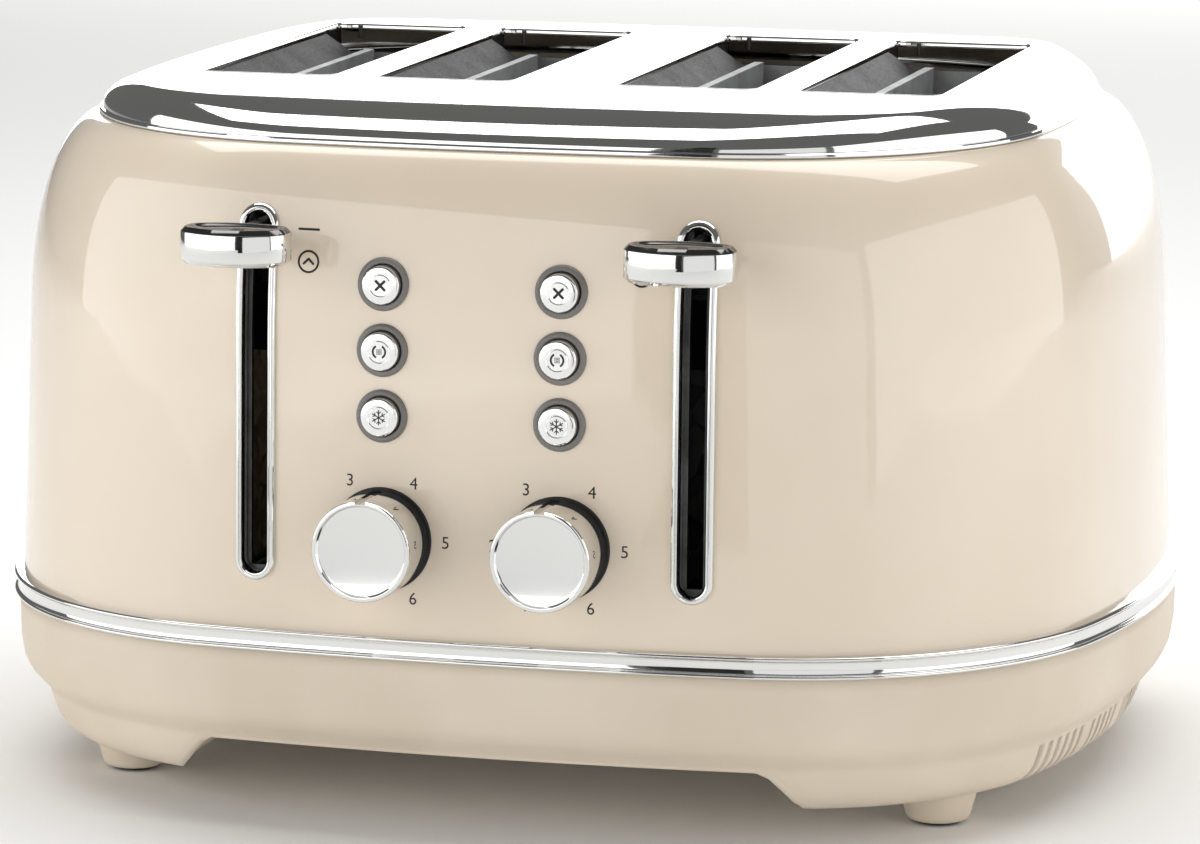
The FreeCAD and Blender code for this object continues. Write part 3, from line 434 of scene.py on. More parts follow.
def moulded(name, dark, light, roughness, texture=0.9, height=0.012):
    """Moulded ABS: an even matt skin with the fine stipple of an etched mould."""
    material, shader, place = finish(name, light, roughness)
    drift = node(material, NOISE, [("Vector", place), ("Scale", per_mm(40.0))])
    node(material, RAMP, [("Fac", (drift, "Fac"))], [("Color", shader, "Base Color")],
         [(0.35, dark), (0.65, light)])
    stipple = node(material, NOISE, [("Vector", place), ("Scale", per_mm(texture)), ("Roughness", 0.6)])
    node(material, BUMP, [("Height", (stipple, "Fac")), ("Distance", height * MM), ("Strength", 0.6)],
         [("Normal", shader, "Normal")])
    node(material, RANGE, [("Value", (stipple, "Fac")), ("From Min", 0.3), ("From Max", 0.7),
                           ("To Min", roughness - 0.06), ("To Max", roughness + 0.08)],
         [("Result", shader, "Roughness")])
    return material


def rubber():
    """Moulded rubber: soft black-grey, nearly without shine, dusty in its fine texture."""
    material, shader, place = finish("moulded_rubber", "#2B2A29", 0.8)
    dust = node(material, NOISE, [("Vector", place), ("Scale", per_mm(3.0)), ("Detail", 4.0)])
    node(material, RAMP, [("Fac", (dust, "Fac"))], [("Color", shader, "Base Color")],
         [(0.35, "#252423"), (0.65, "#383634")])
    texture = node(material, NOISE, [("Vector", place), ("Scale", per_mm(0.6))])
    node(material, BUMP, [("Height", (texture, "Fac")), ("Distance", 0.02 * MM), ("Strength", 0.5)],
         [("Normal", shader, "Normal")])
    return material


def galvanised():
    """Hot-dip galvanised sheet: dull grey zinc in crystal patches a few millimetres across."""
    material, shader, place = finish("galvanised_sheet", "#8E9092", 0.42, 1.0)
    spangle = node(material, CELLS, [("Vector", place), ("Scale", per_mm(7.0))])
    node(material, RAMP, [("Fac", (spangle, "Color"))], [("Color", shader, "Base Color")],
         [(0.2, "#7D8083"), (0.8, "#A3A5A6")])
    dulling = node(material, NOISE, [("Vector", place), ("Scale", per_mm(5.0)), ("Detail", 4.0)])
    node(material, RANGE, [("Value", (dulling, "Fac")), ("From Min", 0.3), ("From Max", 0.7), ("To Min", 0.34),
                           ("To Max", 0.55)], [("Result", shader, "Roughness")])
    frost = node(material, NOISE, [("Vector", place), ("Scale", per_mm(1.5)), ("Detail", 3.0)])
    node(material, BUMP, [("Height", (frost, "Fac")), ("Distance", 0.01 * MM), ("Strength", 0.4)],
         [("Normal", shader, "Normal")])
    return material


def drawn_steel(name, colour, roughness, wear="#6B6763"):
    """Drawn steel wire and bright strip: grey metal, duller in places and with heat-browned patches."""
    material, shader, place = finish(name, colour, roughness, 1.0)
    patches = node(material, NOISE, [("Vector", place), ("Scale", per_mm(12.0)), ("Detail", 5.0), ("Roughness", 0.6)])
    node(material, RAMP, [("Fac", (patches, "Fac"))], [("Color", shader, "Base Color")],
         [(0.3, wear), (0.6, colour)])
    dulling = node(material, NOISE, [("Vector", place), ("Scale", per_mm(0.8)), ("Detail", 3.0)])
    node(material, RANGE, [("Value", (dulling, "Fac")), ("From Min", 0.3), ("From Max", 0.7),
                           ("To Min", roughness), ("To Max", roughness + 0.18)],
         [("Result", shader, "Roughness")])
    return material


def mica():
    """Pressed mica board: golden grey flakes under a dull resin, silvery where a flake catches the light."""
    material, shader, place = finish("pressed_mica", "#A58E6B", 0.5, Specular_IOR_Level=0.6)
    flakes = node(material, CELLS, [("Vector", place), ("Scale", per_mm(4.0))])
    node(material, RAMP, [("Fac", (flakes, "Color"))], [("Color", shader, "Base Color")],
         [(0.1, "#8C7656"), (0.9, "#BDAA88")])
    node(material, BUMP, [("Height", (flakes, "Distance")), ("Distance", 0.05 * MM), ("Strength", 0.5)],
         [("Normal", shader, "Normal")])
    return material


def circuit_board():
    """Glass-epoxy circuit board: green lacquer with finer, lighter copper tracks under it."""
    material, shader, place = finish("green_circuit_board", "#2F5A3A", 0.35, Coat_Weight=0.4, Coat_Roughness=0.2)
    tracks = node(material, WAVES, [("Vector", place), ("Scale", per_mm(12.0)), ("Distortion", 6.0)])
    node(material, RAMP, [("Fac", (tracks, "Fac"))], [("Color", shader, "Base Color")],
         [(0.45, "#264B30"), (0.55, "#3F7048")])
    return material


def printed(name, colour):
    """Pad-printed ink: a thin flat film, slightly duller than the paint that it lies on."""
    material, shader, place = finish(name, colour, 0.45)
    film_grain = node(material, NOISE, [("Vector", place), ("Scale", per_mm(0.5))])
    node(material, RANGE, [("Value", (film_grain, "Fac")), ("From Min", 0.3), ("From Max", 0.7), ("To Min", 0.4),
                           ("To Max", 0.55)], [("Result", shader, "Roughness")])
    return material


def copper():
    """Enamelled copper wire, close wound: reddish brown with a fine thread of turns."""
    material, shader, place = finish("wound_copper_wire", "#8F4E2A", 0.35, 1.0)
    turns = node(material, WAVES, [("Vector", place), ("Scale", per_mm(3.0))], bands_direction="Z")
    node(material, RAMP, [("Fac", (turns, "Fac"))], [("Color", shader, "Base Color")],
         [(0.35, "#74401F"), (0.65, "#B0693B")])
    node(material, BUMP, [("Height", (turns, "Fac")), ("Distance", 0.1 * MM), ("Strength", 0.6)],
         [("Normal", shader, "Normal")])
    return material


ENAMEL = enamel()
CHROME = chrome()
# A darker copy of the chrome, which paints the dark reflection on the tops of the lever knobs.
CHROME_PAINTED_DARK_REFLECTION = chrome("chrome_with_painted_dark_reflection", "#6E6D6C", 0.12)
BRIGHT_FACE = chrome("polished_chrome_face", "#F2F2F0", 0.09)
CREAM_ABS = moulded("cream_moulded_abs", "#DDCFBB", "#E4D7C4", 0.5)
# Black moulded plastic; behind the vent slits and on the dial seats it is painted shade.
BLACK_ABS_AND_PAINTED_SHADE = moulded("black_moulded_abs_and_painted_shade", "#161514", "#201F1E", 0.5)
# Grey plastic whose colour paints in the grey reflection that the chrome button bezels show.
GREY_ABS_PAINTED_REFLECTION = moulded("grey_abs_painted_chrome_reflection", "#716E6A", "#7C7975", 0.3, 0.5, 0.006)
RUBBER = rubber()
ZINC = galvanised()
SHEET = drawn_steel("dull_rolled_sheet", "#DADBDB", 0.55, "#BFC0C0")
WIRE = drawn_steel("drawn_steel_wire", "#A8A6A3", 0.28)
# Dark steel for pins, plates, guides and slot end shields; on the slot liners' slopes it is painted shade inside the
# slots.
DARK_STEEL_AND_SLOT_SHADE = drawn_steel("dark_steel_and_painted_slot_shade", "#5C5B5B", 0.4, "#403F3F")
RIBBON = drawn_steel("nichrome_ribbon", "#8A7F76", 0.38, "#5F564E")
MICA = mica()
BOARD = circuit_board()
COPPER = copper()
INK = printed("black_printed_ink", "#151414")
GREY_INK = printed("grey_printed_ink", "#6F6D6B")


# ---------------------------------------------------------------- casing
def build_shell():
    levels = list(np.linspace(BELT_HIGH - 1.2, SHOULDER_Z, 17))
    levels += [SHOULDER_Z + SHOULDER * math.sin(math.radians(a)) for a in range(3, 91, 3)]
    outer = [shell_ring(z) for z in levels]
    ledge = []
    for step in (2.0, 5.0, 8.0):
        flat = outline(HALF_WIDTH - TOP_INSET - step, HALF_DEPTH - DEPTH_SHARE * TOP_INSET - step, FRONT_ARC,
                       LID_SIDE_ARC, LID_CORNER_ARC - step)
        ledge.append(lift(flat, SHELL_TOP))
    under = [lift(ring[:, :2], SHELL_TOP - SHELL_WALL) for ring in reversed(ledge)]
    inner = [shell_ring(z, SHELL_WALL) for z in reversed(levels[:-1])]
    shell = piece("enamelled_shell", *skin(outer + ledge + under + inner, join=True), ENAMEL, slot="shell",
                  replaces=("body_shell",))
    y0, y1 = -HALF_DEPTH - 6, -HALF_DEPTH + 22
    tools = []
    for _, side in SIDES:
        tools.append(prism_y(stadium(side * LEVER_X, SLOT_LOW + 5.6, SLOT_HIGH - 5.6, 4.6), y0, y1))
        tools.append(prism_y(stadium(side * BUTTON_X, DIAL_Z, DIAL_Z, 5.0), y0, y1))
        for _, z in BUTTONS:
            tools.append(prism_y(stadium(side * BUTTON_X, z, z, 6.5), y0, y1))
    cut(shell, tools)


def lid_flat(share, inset=0.0):
    """Plan outline of the lid: share 0 at its lower edge, 1 at the edge of its flat top."""
    def mix(a, b):
        return a + share * (b - a)
    return outline(mix(LID_HALF_WIDTH, FLAT_HALF_WIDTH) - inset, mix(LID_HALF_DEPTH, FLAT_HALF_DEPTH) - inset,
                   1 / mix(1 / FRONT_ARC, 1 / FLAT_ARC), 1 / mix(1 / LID_SIDE_ARC, 1 / FLAT_ARC),
                   mix(LID_CORNER_ARC, FLAT_CORNER) - inset, mix(0, FLAT_Y))


def slot_edge(x, grow, steps=10):
    """Plan outline of a bread slot, larger by grow all round."""
    hx, hy, r = SLOT_HALF[0] + grow, SLOT_HALF[1] + grow, SLOT_CORNER + grow
    rows = []
    for sx, sy, start in ((1, -1, -90), (1, 1, 0), (-1, 1, 90), (-1, -1, 180)):
        turn = np.radians(np.linspace(start, start + 90, steps))
        rows.append(np.stack([x + sx * (hx - r) + r * np.cos(turn), SLOT_Y + sy * (hy - r) + r * np.sin(turn)],
                             axis=1))
    return np.concatenate(rows)


def build_lid():
    flange = SHELL_TOP + LID_FLANGE
    crown = TOP - RIM_RISE
    edge = ((1.6, 0), (0.35, 0), (0.05, 0.3), (0, 0.7), (0.1, 1.1), (0.4, LID_FLANGE), (1.0, LID_FLANGE + 0.05))
    rings = [lift(lid_flat(0, inset), SHELL_TOP + up) for inset, up in edge]
    turns = [0, 4, 8, 12, 16, 20, 25, 30, 35, 40, 45, 50, 55, 60, 65, 70, 75, 80, 85, 90]
    for degrees in turns:
        angle = math.radians(degrees)
        up = flange + 0.1 + (crown - flange - 0.1) * math.sin(angle)
        rings.append(lift(lid_flat(1 - math.cos(angle), LID_LIP), up))
    rings.append(lift(lid_flat(1, LID_LIP + 2.0), crown))
    inner = [lift(lid_flat(1, LID_LIP + 2.0), crown - 1.0)]
    for degrees in reversed(turns):
        angle = math.radians(degrees)
        up = flange - 0.5 + (crown - flange - 0.5) * math.sin(angle)
        inner.append(lift(lid_flat(1 - math.cos(angle), LID_LIP + 1.0), up))
    inner.append(lift(lid_flat(0, LID_LIP + 1.4), SHELL_TOP))
    points, faces = skin(rings + inner, join=True)
    around = len(rings[0])
    top, under = len(rings) - 1, len(rings)
    faces = [f for f in faces if not (min(f) >= top * around and max(f) < (under + 1) * around)]
    faces.append(tuple(top * around + k for k in range(around)))
    faces.append(tuple(under * around + k for k in range(around - 1, -1, -1)))
    lid = piece("chrome_lid", points, faces, CHROME, slot="lid", replaces=("top_lid",), sharp=30)
    cut(lid, [prism_z(slot_edge(x, 0.6), TOP - 12, TOP + 5) for x in SLOT_X])
    collars, pins = [], []
    for x in SLOT_X:
        roll = ((1.6, crown - 0.6), (1.6, crown), (1.2, crown + 0.1), (0.8, TOP), (0.45, TOP - 0.1), (0.15, TOP - 0.4),
                (0.0, TOP - 1.0), (0.0, TOP - 1.9), (0.5, TOP - 1.9), (0.5, crown - 0.6))
        collars.append(skin([lift(slot_edge(x, grow), z) for grow, z in roll], join=True))
        pins.append(turned("z", x - 14.0, SLOT_Y + SLOT_HALF[1] - 0.5,
                           ((0.4, 190.4), (0.6, 190.6), (0.6, 194.3), (0.4, 194.5))))
    piece("slot_collars", *gather(collars), CHROME, slot="lid")
    piece("collar_pins", *gather(pins), DARK_STEEL_AND_SLOT_SHADE, slot="steel")


def build_liners():
    """Folded sheet that lines each slot: a slope down from the rim, a bright fold, and an upright face below it. The
    slope takes a darker steel than the rest of the same sheet, as painted shade inside the slot.
    """
    front, back = SLOT_Y - SLOT_HALF[1] - 1.0, SLOT_Y + SLOT_HALF[1] + 1.0
    slopes, sheets, folds, backs = [], [], [], []
    for x in SLOT_X:
        for way in (-1, 1):
            slope = [(20.5, 193.0), (20.0, 193.0), (11.4, 187.3), (11.4, 186.8)]
            fold = [(11.6, 187.4), (8.8, 187.4), (8.8, 186.6), (11.6, 186.6)]
            face = [(9.4, 186.8), (8.9, 186.8), (8.9, 150.0), (9.4, 150.0)]
            runs = ((slope, slopes, back - 16.0), (fold, folds, back - 4.0), (face, sheets, back - 4.0))
            for section, made, end in runs:
                outline_xz = np.array([(x + way * across, up) for across, up in section])[::-way]
                made.append(prism_y(outline_xz, front, end))
            sheets.append(block(*sorted((x + way * 8.3, x + way * 8.9)), front + 52.0, front + 53.0, 150.0, 186.0))
            backs.append(block(*sorted((x + way * 20.6, x + way * 21.1)), back - 20.0, back, 140.0, 193.0))
        sheets.append(block(x - 19.0, x + 19.0, back + 0.2, back + 0.8, 140.0, 186.0))
    # The slopes take the dark steel as painted shade inside the slots.
    piece("slot_liner_slopes", *gather(slopes), DARK_STEEL_AND_SLOT_SHADE, slot="galvanised", sharp=20)
    piece("slot_liner_sheets", *gather(sheets), SHEET, slot="galvanised", sharp=20)
    piece("slot_liner_folds", *gather(folds), SHEET, slot="galvanised", sharp=20)
    piece("slot_end_shields", *gather(backs), DARK_STEEL_AND_SLOT_SHADE, slot="galvanised", sharp=20)


def build_belt():
    """Rolled channel: two round lips with a slightly hollow band between them."""
    profile = ((6.0, 0.0), (0.9, 0.0), (0.35, 0.12), (0.05, 0.4), (0.0, 0.7), (0.1, 1.0), (0.45, 1.22), (0.85, 1.35),
               (1.0, 1.7), (1.1, 2.4), (1.14, 3.15), (1.1, 3.9), (1.0, 4.55), (0.85, 4.9), (0.45, 5.05), (0.1, 5.28),
               (0.0, 5.6), (0.1, 5.9), (0.45, 6.15), (1.0, 6.28), (2.2, 6.33), (6.0, 6.33))
    rings = [lift(outline(HALF_WIDTH - inset, HALF_DEPTH - inset, FRONT_ARC - inset, SIDE_ARC - inset,
                          CORNER_ARC - inset), BELT_LOW + up) for inset, up in profile]
    piece("chrome_belt", *skin(rings, join=True), CHROME, slot="belt", replaces=("belt_trim",), sharp=50)


def base_inset(z):
    return np.interp(z, [p[0] for p in BASE_PROFILE], [p[1] for p in BASE_PROFILE])


def arch_height(x):
    """Height of the underside at x: flat on the outer lobes, an S ramp, and the raised middle."""
    t = np.clip((np.abs(x) - ARCH_FLAT) / ARCH_RAMP, 0, 1)
    ease = t * t * (3 - 2 * t)
    return ARCH_TOP + (BASE_BOTTOM - ARCH_TOP) * ease


def build_base():
    around = outline(HALF_WIDTH, HALF_DEPTH, FRONT_ARC, SIDE_ARC, CORNER_ARC, steps=(180, 30, 36))
    full = {}

    def wall(inset):
        key = round(float(inset), 3)
        if key not in full:
            full[key] = outline(HALF_WIDTH - key, HALF_DEPTH - BASE_SHARE * key, FRONT_ARC - key, SIDE_ARC - key,
                                CORNER_ARC - key, steps=(180, 30, 36))
        return full[key]

    deepest = 23.0
    grid = np.linspace(0, deepest, 93)
    table = np.stack([wall(g) for g in grid])

    def at(inset):
        """Wall points for an inset that differs from column to column."""
        inset = np.clip(inset, 0, deepest - 0.01)
        low = np.floor(inset / grid[1]).astype(int)
        part = (inset / grid[1] - low)[:, None]
        column = np.arange(len(inset))
        return table[low, column] * (1 - part) + table[low + 1, column] * part

    low = arch_height(at(np.full(len(around), 8.0))[:, 0])
    rings = []
    for z in (48.7, 45.0, 40.0, 36.0, 33.5, 31.0, 29.4, 27.8, 26.1, 24.9, 24.2):
        rings.append(lift(at(np.full(len(around), base_inset(z))), z))
    lobe = [24.2 - (24.2 - BASE_BOTTOM) * s for s in np.linspace(0, 1, 15)][1:]
    for z in lobe[:-3]:
        height = np.maximum(z, low + BASE_EDGE + (z - lobe[-4]) * 0.02)
        rings.append(lift(at(base_inset(height)), height))
    start = np.maximum(lobe[-4], low + BASE_EDGE)
    start_inset = base_inset(start)
    for a in np.linspace(0, 90, 8)[1:]:
        drop = BASE_EDGE * math.sin(math.radians(a))
        into = BASE_EDGE * (1 - math.cos(math.radians(a)))
        height = start - drop * (start - low) / BASE_EDGE
        inset = np.maximum(base_inset(height), start_inset + into)
        rings.append(lift(at(inset), height))
    rim = rings[-1][:, :2]
    for share in np.linspace(0, 1, 26)[1:]:
        flat = rim * (1 - share * 0.999)
        rings.append(lift(flat, arch_height(flat[:, 0])))
    points, faces = skin(rings[::-1], cap_first=True)
    base = piece("moulded_base", points, faces, CREAM_ABS, slot="base", replaces=("base_shell",), sharp=50)
    thick = base.modifiers.new("wall", "SOLIDIFY")
    thick.thickness = BASE_WALL * MM
    thick.offset = -1.0
    settle(base)
    tools = []
    for start_y, count in VENT_GROUPS:
        for i in range(count):
            y = start_y + VENT_PITCH * i
            for _, side in SIDES:
                tools.append(block(*sorted((side * 130, side * 165)), y - VENT_HALF, y + VENT_HALF, *VENT_Z))
    for _, side in SIDES:
        tools.append(block(*sorted(side * x for x in TRAY_WINDOW_X), 100, 150, *TRAY_WINDOW_Z))
    tools.append(turned("y", 0, GLAND_Z, ((GLAND_HOLE_R, 120), (GLAND_HOLE_R, 150)), 40))
    cut(base, tools)


def build_painted_shade_behind_vents():
    """A dark strip close behind the slits at each end of the base: painted shade inside the slits."""
    strips = []
    for _, side in SIDES:
        rings = []
        for z in (10.6, 12.5, 14.5, 17.0, 20.0, 22.6):
            ends = []
            for gap in (2.4, 3.0):
                inset = base_inset(z) + gap
                flat = outline(HALF_WIDTH - inset, HALF_DEPTH - BASE_SHARE * inset, FRONT_ARC - inset,
                               SIDE_ARC - inset, CORNER_ARC - inset)
                rows = np.linspace(-80.0, 76.0, 60)
                half = flat[side * flat[:, 0] > 60.0]
                half = half[np.argsort(half[:, 1])]
                ends.append(np.column_stack([np.interp(rows, half[:, 1], half[:, 0]), rows]))
            rings.append(lift(np.concatenate([ends[0], ends[1][::-1]])[::side], z))
        strips.append(skin(rings, cap_first=True, cap_last=True))
    piece("painted_shade_behind_vents", *gather(strips), BLACK_ABS_AND_PAINTED_SHADE, slot="base", sharp=50)


def build_feet():
    foot = ((0.5, 0.7), (6.6, 0.7), (7.4, 0.75), (8.2, 1.1), (8.8, 1.9), (9.2, 3.2), (10.3, 7.2), (10.8, 9.2),
            (11.3, 10.2), (11.3, 11.4))
    pad = ((0.5, 0.0), (6.0, 0.0), (6.4, 0.15), (6.5, 0.4), (6.5, 0.72), (0.5, 0.72))
    for depth, sy in (("front", -1), ("rear", 1)):
        for name, sx in SIDES:
            cad_node = "foot_" + depth + "_" + name
            piece(cad_node + "_moulded", *turned("z", sx * FOOT_X, sy * FOOT_Y, foot), CREAM_ABS, slot="base",
                  replaces=(cad_node,))
    pads = [turned("z", sx * FOOT_X, sy * FOOT_Y, pad) for _, sx in SIDES for sy in (-1, 1)]
    piece("rubber_pads", *gather(pads), RUBBER, slot="pad", replaces=("foot_pads",))


# ---------------------------------------------------------------- front controls
# Sections of the trim: distance from the middle line, and how far it stands out from the wall.
FRAME_PROFILE = ((5.75, -0.3), (5.75, 0.5), (5.62, 0.95), (5.3, 1.3), (4.9, 1.46), (4.62, 1.46), (4.5, 1.3),
                 (4.38, 1.12), (4.28, 1.3), (4.12, 1.42), (3.9, 1.34), (3.5, 0.7), (3.4, 0.2), (3.4, -2.6), (4.4, -2.6),
                 (4.4, -0.3))
BEZEL_PROFILE = ((7.15, -0.3), (7.15, 0.5), (7.0, 0.85), (6.7, 1.1), (6.3, 1.2), (5.8, 1.14), (5.55, 0.9),
                 (5.45, 0.5), (5.45, -5.8), (6.3, -5.8), (6.3, -0.3))
RING_PROFILE = ((14.1, -0.3), (14.1, 0.3), (13.9, 0.5), (13.4, 0.55), (12.8, 0.5), (4.2, 0.4), (4.2, -0.3))


def build_trim():
    for name, side in SIDES:
        x = side * LEVER_X
        ring = wall_trim(x, SLOT_LOW + FRAME_HALF, SLOT_HIGH - FRAME_HALF, FRAME_PROFILE, 28)
        piece("chrome_slot_frame_" + name, *ring, CHROME, slot="slot_frame", replaces=("lever_slot_frame_" + name,))
        rings = [wall_trim(side * BUTTON_X, z, z, BEZEL_PROFILE, 28) for _, z in BUTTONS]
        # The bezels' grey colour is a painted reflection of chrome.
        piece("bezels_painted_grey_reflection_" + name, *gather(rings), GREY_ABS_PAINTED_REFLECTION, slot="bezel", replaces=("button_bezels_" + name,))
        # The seat ring is a real part; its black paints in the dark reflection and shade of the thin line where the
        # dial meets the wall.
        piece("dial_seat_painted_dark_line_" + name, *wall_trim(side * BUTTON_X, DIAL_Z, DIAL_Z, RING_PROFILE, 40), BLACK_ABS_AND_PAINTED_SHADE,
              slot="dial_ring", replaces=("dial_ring_" + name,))


def strip(path, width):
    """Flat stroke with round ends, as pieces of outline in x and z."""
    shapes = []
    half = width / 2
    line = [np.array(p, float) for p in path]
    for a, b in zip(line, line[1:]):
        along = (b - a) / np.linalg.norm(b - a)
        across = np.array([-along[1], along[0]]) * half
        shapes.append([a - across, b - across, b + across, a + across])
    for spot in line:
        turn = np.linspace(0, 2 * math.pi, 16, endpoint=False)
        shapes.append([spot + half * np.array([math.cos(t), math.sin(t)]) for t in turn])
    return shapes


def arc_band(x, z, r0, r1, start, end, steps=24):
    """Curved stroke from radius r0 to r1 round (x, z), as pieces of outline."""
    turn = np.radians(np.linspace(start, end, steps + 1))
    shapes = []
    for a, b in zip(turn, turn[1:]):
        shapes.append([(x + r0 * math.cos(a), z + r0 * math.sin(a)), (x + r1 * math.cos(a), z + r1 * math.sin(a)),
                       (x + r1 * math.cos(b), z + r1 * math.sin(b)), (x + r0 * math.cos(b), z + r0 * math.sin(b))])
    return shapes


def film(shapes, surface, thick=0.03):
    """Printed shapes as thin solids lying on a surface; surface gives Y from x and z."""
    parts = []
    for i, shape in enumerate(shapes):
        spot = np.array(shape, float)
        y = surface(spot[:, 0], spot[:, 1])
        lift_off = thick + 0.0004 * (i % 7)      # so that no two overlapping shapes share a face
        front = np.column_stack([spot[:, 0], y - lift_off, spot[:, 1]])
        back = np.column_stack([spot[:, 0], y + 0.01, spot[:, 1]])
        parts.append(skin([front, back], cap_first=True, cap_last=True))
    return gather(parts)


def icon(label):
    """The printed sign of each button, about the button's centre."""
    if label == "cancel":
        return strip([(-1.15, -1.15), (1.15, 1.15)], 0.72) + strip([(-1.15, 1.15), (1.15, -1.15)], 0.72), []
    if label == "reheat":
        ring = arc_band(0, 0, 1.45, 2.0, -62, 62) + arc_band(0, 0, 1.45, 2.0, 118, 242)
        hatch = [s for k in (-0.6, -0.2, 0.2, 0.6) for s in strip([(k, -0.7), (k, 0.7)], 0.14)]
        hatch += [s for k in (-0.6, -0.2, 0.2, 0.6) for s in strip([(-0.7, k), (0.7, k)], 0.14)]
        return ring, hatch
    arms = []                                    # a six-armed snowflake
    for k in range(6):
        a = math.radians(90 + 60 * k)
        tip = np.array([math.cos(a), math.sin(a)]) * 1.95
        arms += strip([(0, 0), tip], 0.3)
        for turn in (-0.85, 0.85):
            arms += strip([tip * 0.55, tip * 0.55 + 0.7 * np.array([math.cos(a + turn), math.sin(a + turn)])], 0.26)
    return arms, []


def build_buttons():
    for name, side in SIDES:
        x = side * BUTTON_X
        for label, z in BUTTONS:
            wall = float(front_wall(x, z))
            face = wall - 3.1
            profile = ((0.02, face + 0.02), (2.72, face), (2.8, face + 0.07), (2.93, face + 0.16), (3.06, face + 0.07),
                       (3.14, face), (4.55, face), (4.85, face + 0.06), (5.08, face + 0.25), (5.2, face + 0.6),
                       (5.2, wall + 7.5), (6.0, wall + 7.5), (6.0, wall + 8.5), (2.0, wall + 8.5), (2.0, -122.2))
            body = "button_" + label + "_" + name + "_body"
            piece("push_button_" + label + "_" + name, *turned("y", x, z, profile), BRIGHT_FACE, body, "button",
                  ("button_" + label + "_" + name,), 30)
            marks, fine = icon(label)
            for shapes, ink, kind in ((marks, INK, "sign_"), (fine, GREY_INK, "hatch_")):
                if shapes:
                    moved = [[(p[0] + x, p[1] + z) for p in shape] for shape in shapes]
                    piece(kind + label + "_" + name, *film(moved, lambda a, b: np.full(len(a), face + 0.01)), ink, body,
                          "button")


def build_dials():
    half, floor = 1.5, DIAL_R - 0.9              # pointer groove: half its width, and the radius of its floor
    edge = math.asin(half / DIAL_R)
    top = math.pi / 2
    turn = np.concatenate([np.linspace(top + edge + 1e-3, top + 2 * math.pi - edge - 1e-3, 100),
                           np.linspace(top - edge, top + edge, 7)])

    def notched(turn, r):
        away = np.angle(np.exp(1j * (turn - top)))
        inside = np.abs(away) <= edge + 1e-6
        return np.where(inside, np.minimum(r, floor / np.cos(away)), r)

    for name, side in SIDES:
        x = side * BUTTON_X
        back = float(front_wall(x, DIAL_Z)) - 1.6
        face = DIAL_FACE_Y
        profile = ((0.02, face + 0.75), (11.6, face + 0.75), (12.0, face + 0.68), (12.25, face + 0.3),
                   (12.45, face + 0.03), (12.7, face), (13.1, face), (13.45, face + 0.12), (13.64, face + 0.35),
                   (13.7, face + 0.7), (13.7, back - 0.5), (13.5, back - 0.1), (13.2, back), (3.0, back))
        points, faces = turned("y", x, DIAL_Z, profile, shape=(turn, notched))
        piece("chrome_dial_" + name, points, faces, CHROME, "dial_" + name, "dial", ("browning_dial_" + name,), 30)


def build_knobs():
    """Lens-shaped lever knobs with a bevel above and below and a shallow dished top."""
    half, deep = 15.0, 8.8
    front, rear = -deep + 5.8, deep - 4.5

    def bow(a, b, bulge, count):
        """Points of the arc from a to b that bulges outwards."""
        chord = b[0] - a[0]
        r = (chord * chord / 4 + bulge * bulge) / (2 * abs(bulge))
        cy = a[1] + (r - abs(bulge)) * (1 if bulge < 0 else -1)
        s = np.linspace(a[0], b[0], count)
        reach = np.sqrt(np.maximum(r * r - (s - (a[0] + b[0]) / 2) ** 2, 0))
        return np.stack([s, cy + (reach if bulge > 0 else -reach)], axis=1)

    flat = np.concatenate([bow((-half, front), (half, front), -5.8, 49),
                           np.stack([np.full(9, half), np.linspace(front, rear, 11)[1:-1]], axis=1),
                           bow((half, rear), (-half, rear), 4.5, 49),
                           np.stack([np.full(9, -half), np.linspace(rear, front, 11)[1:-1]], axis=1)])
    for _ in range(14):
        corner = np.abs(flat[:, 0]) > half - 3.0
        smooth = (np.roll(flat, 1, axis=0) + np.roll(flat, -1, axis=0) + 2 * flat) / 4
        flat[corner] = smooth[corner]
    levels = ((8.0, -4.95), (1.45, -5.0), (1.2, -4.93), (0.12, -3.75), (0.0, -3.55), (0.0, 3.55), (0.12, 3.75),
              (1.2, 4.93), (1.45, 5.0), (1.9, 5.0), (2.3, 4.9), (3.1, 4.5), (4.2, 4.15), (5.6, 3.95), (7.4, 3.85),
              (8.5, 3.83))
    for name, side in SIDES:
        rings = []
        for inset, up in levels:
            scale = np.array([(half - inset) / half, (deep - inset) / deep])
            ring = flat * scale + np.array([side * LEVER_X, KNOB_Y])
            rings.append(lift(ring, KNOB_Z + up))
        points, faces = skin(rings, cap_first=True, cap_last=True)
        knob = piece("chrome_lever_knob_" + name, points, faces, CHROME, "lever_" + name, "lever_knob",
                     ("lever_knob_" + name,), 32)
        # The top bevel and the dished top take the darker chrome: a painted dark reflection.
        knob.data.materials.append(CHROME_PAINTED_DARK_REFLECTION)
        for face in knob.data.polygons:
            if face.center.z > (KNOB_Z + 3.8) * MM:
                face.material_index = 1


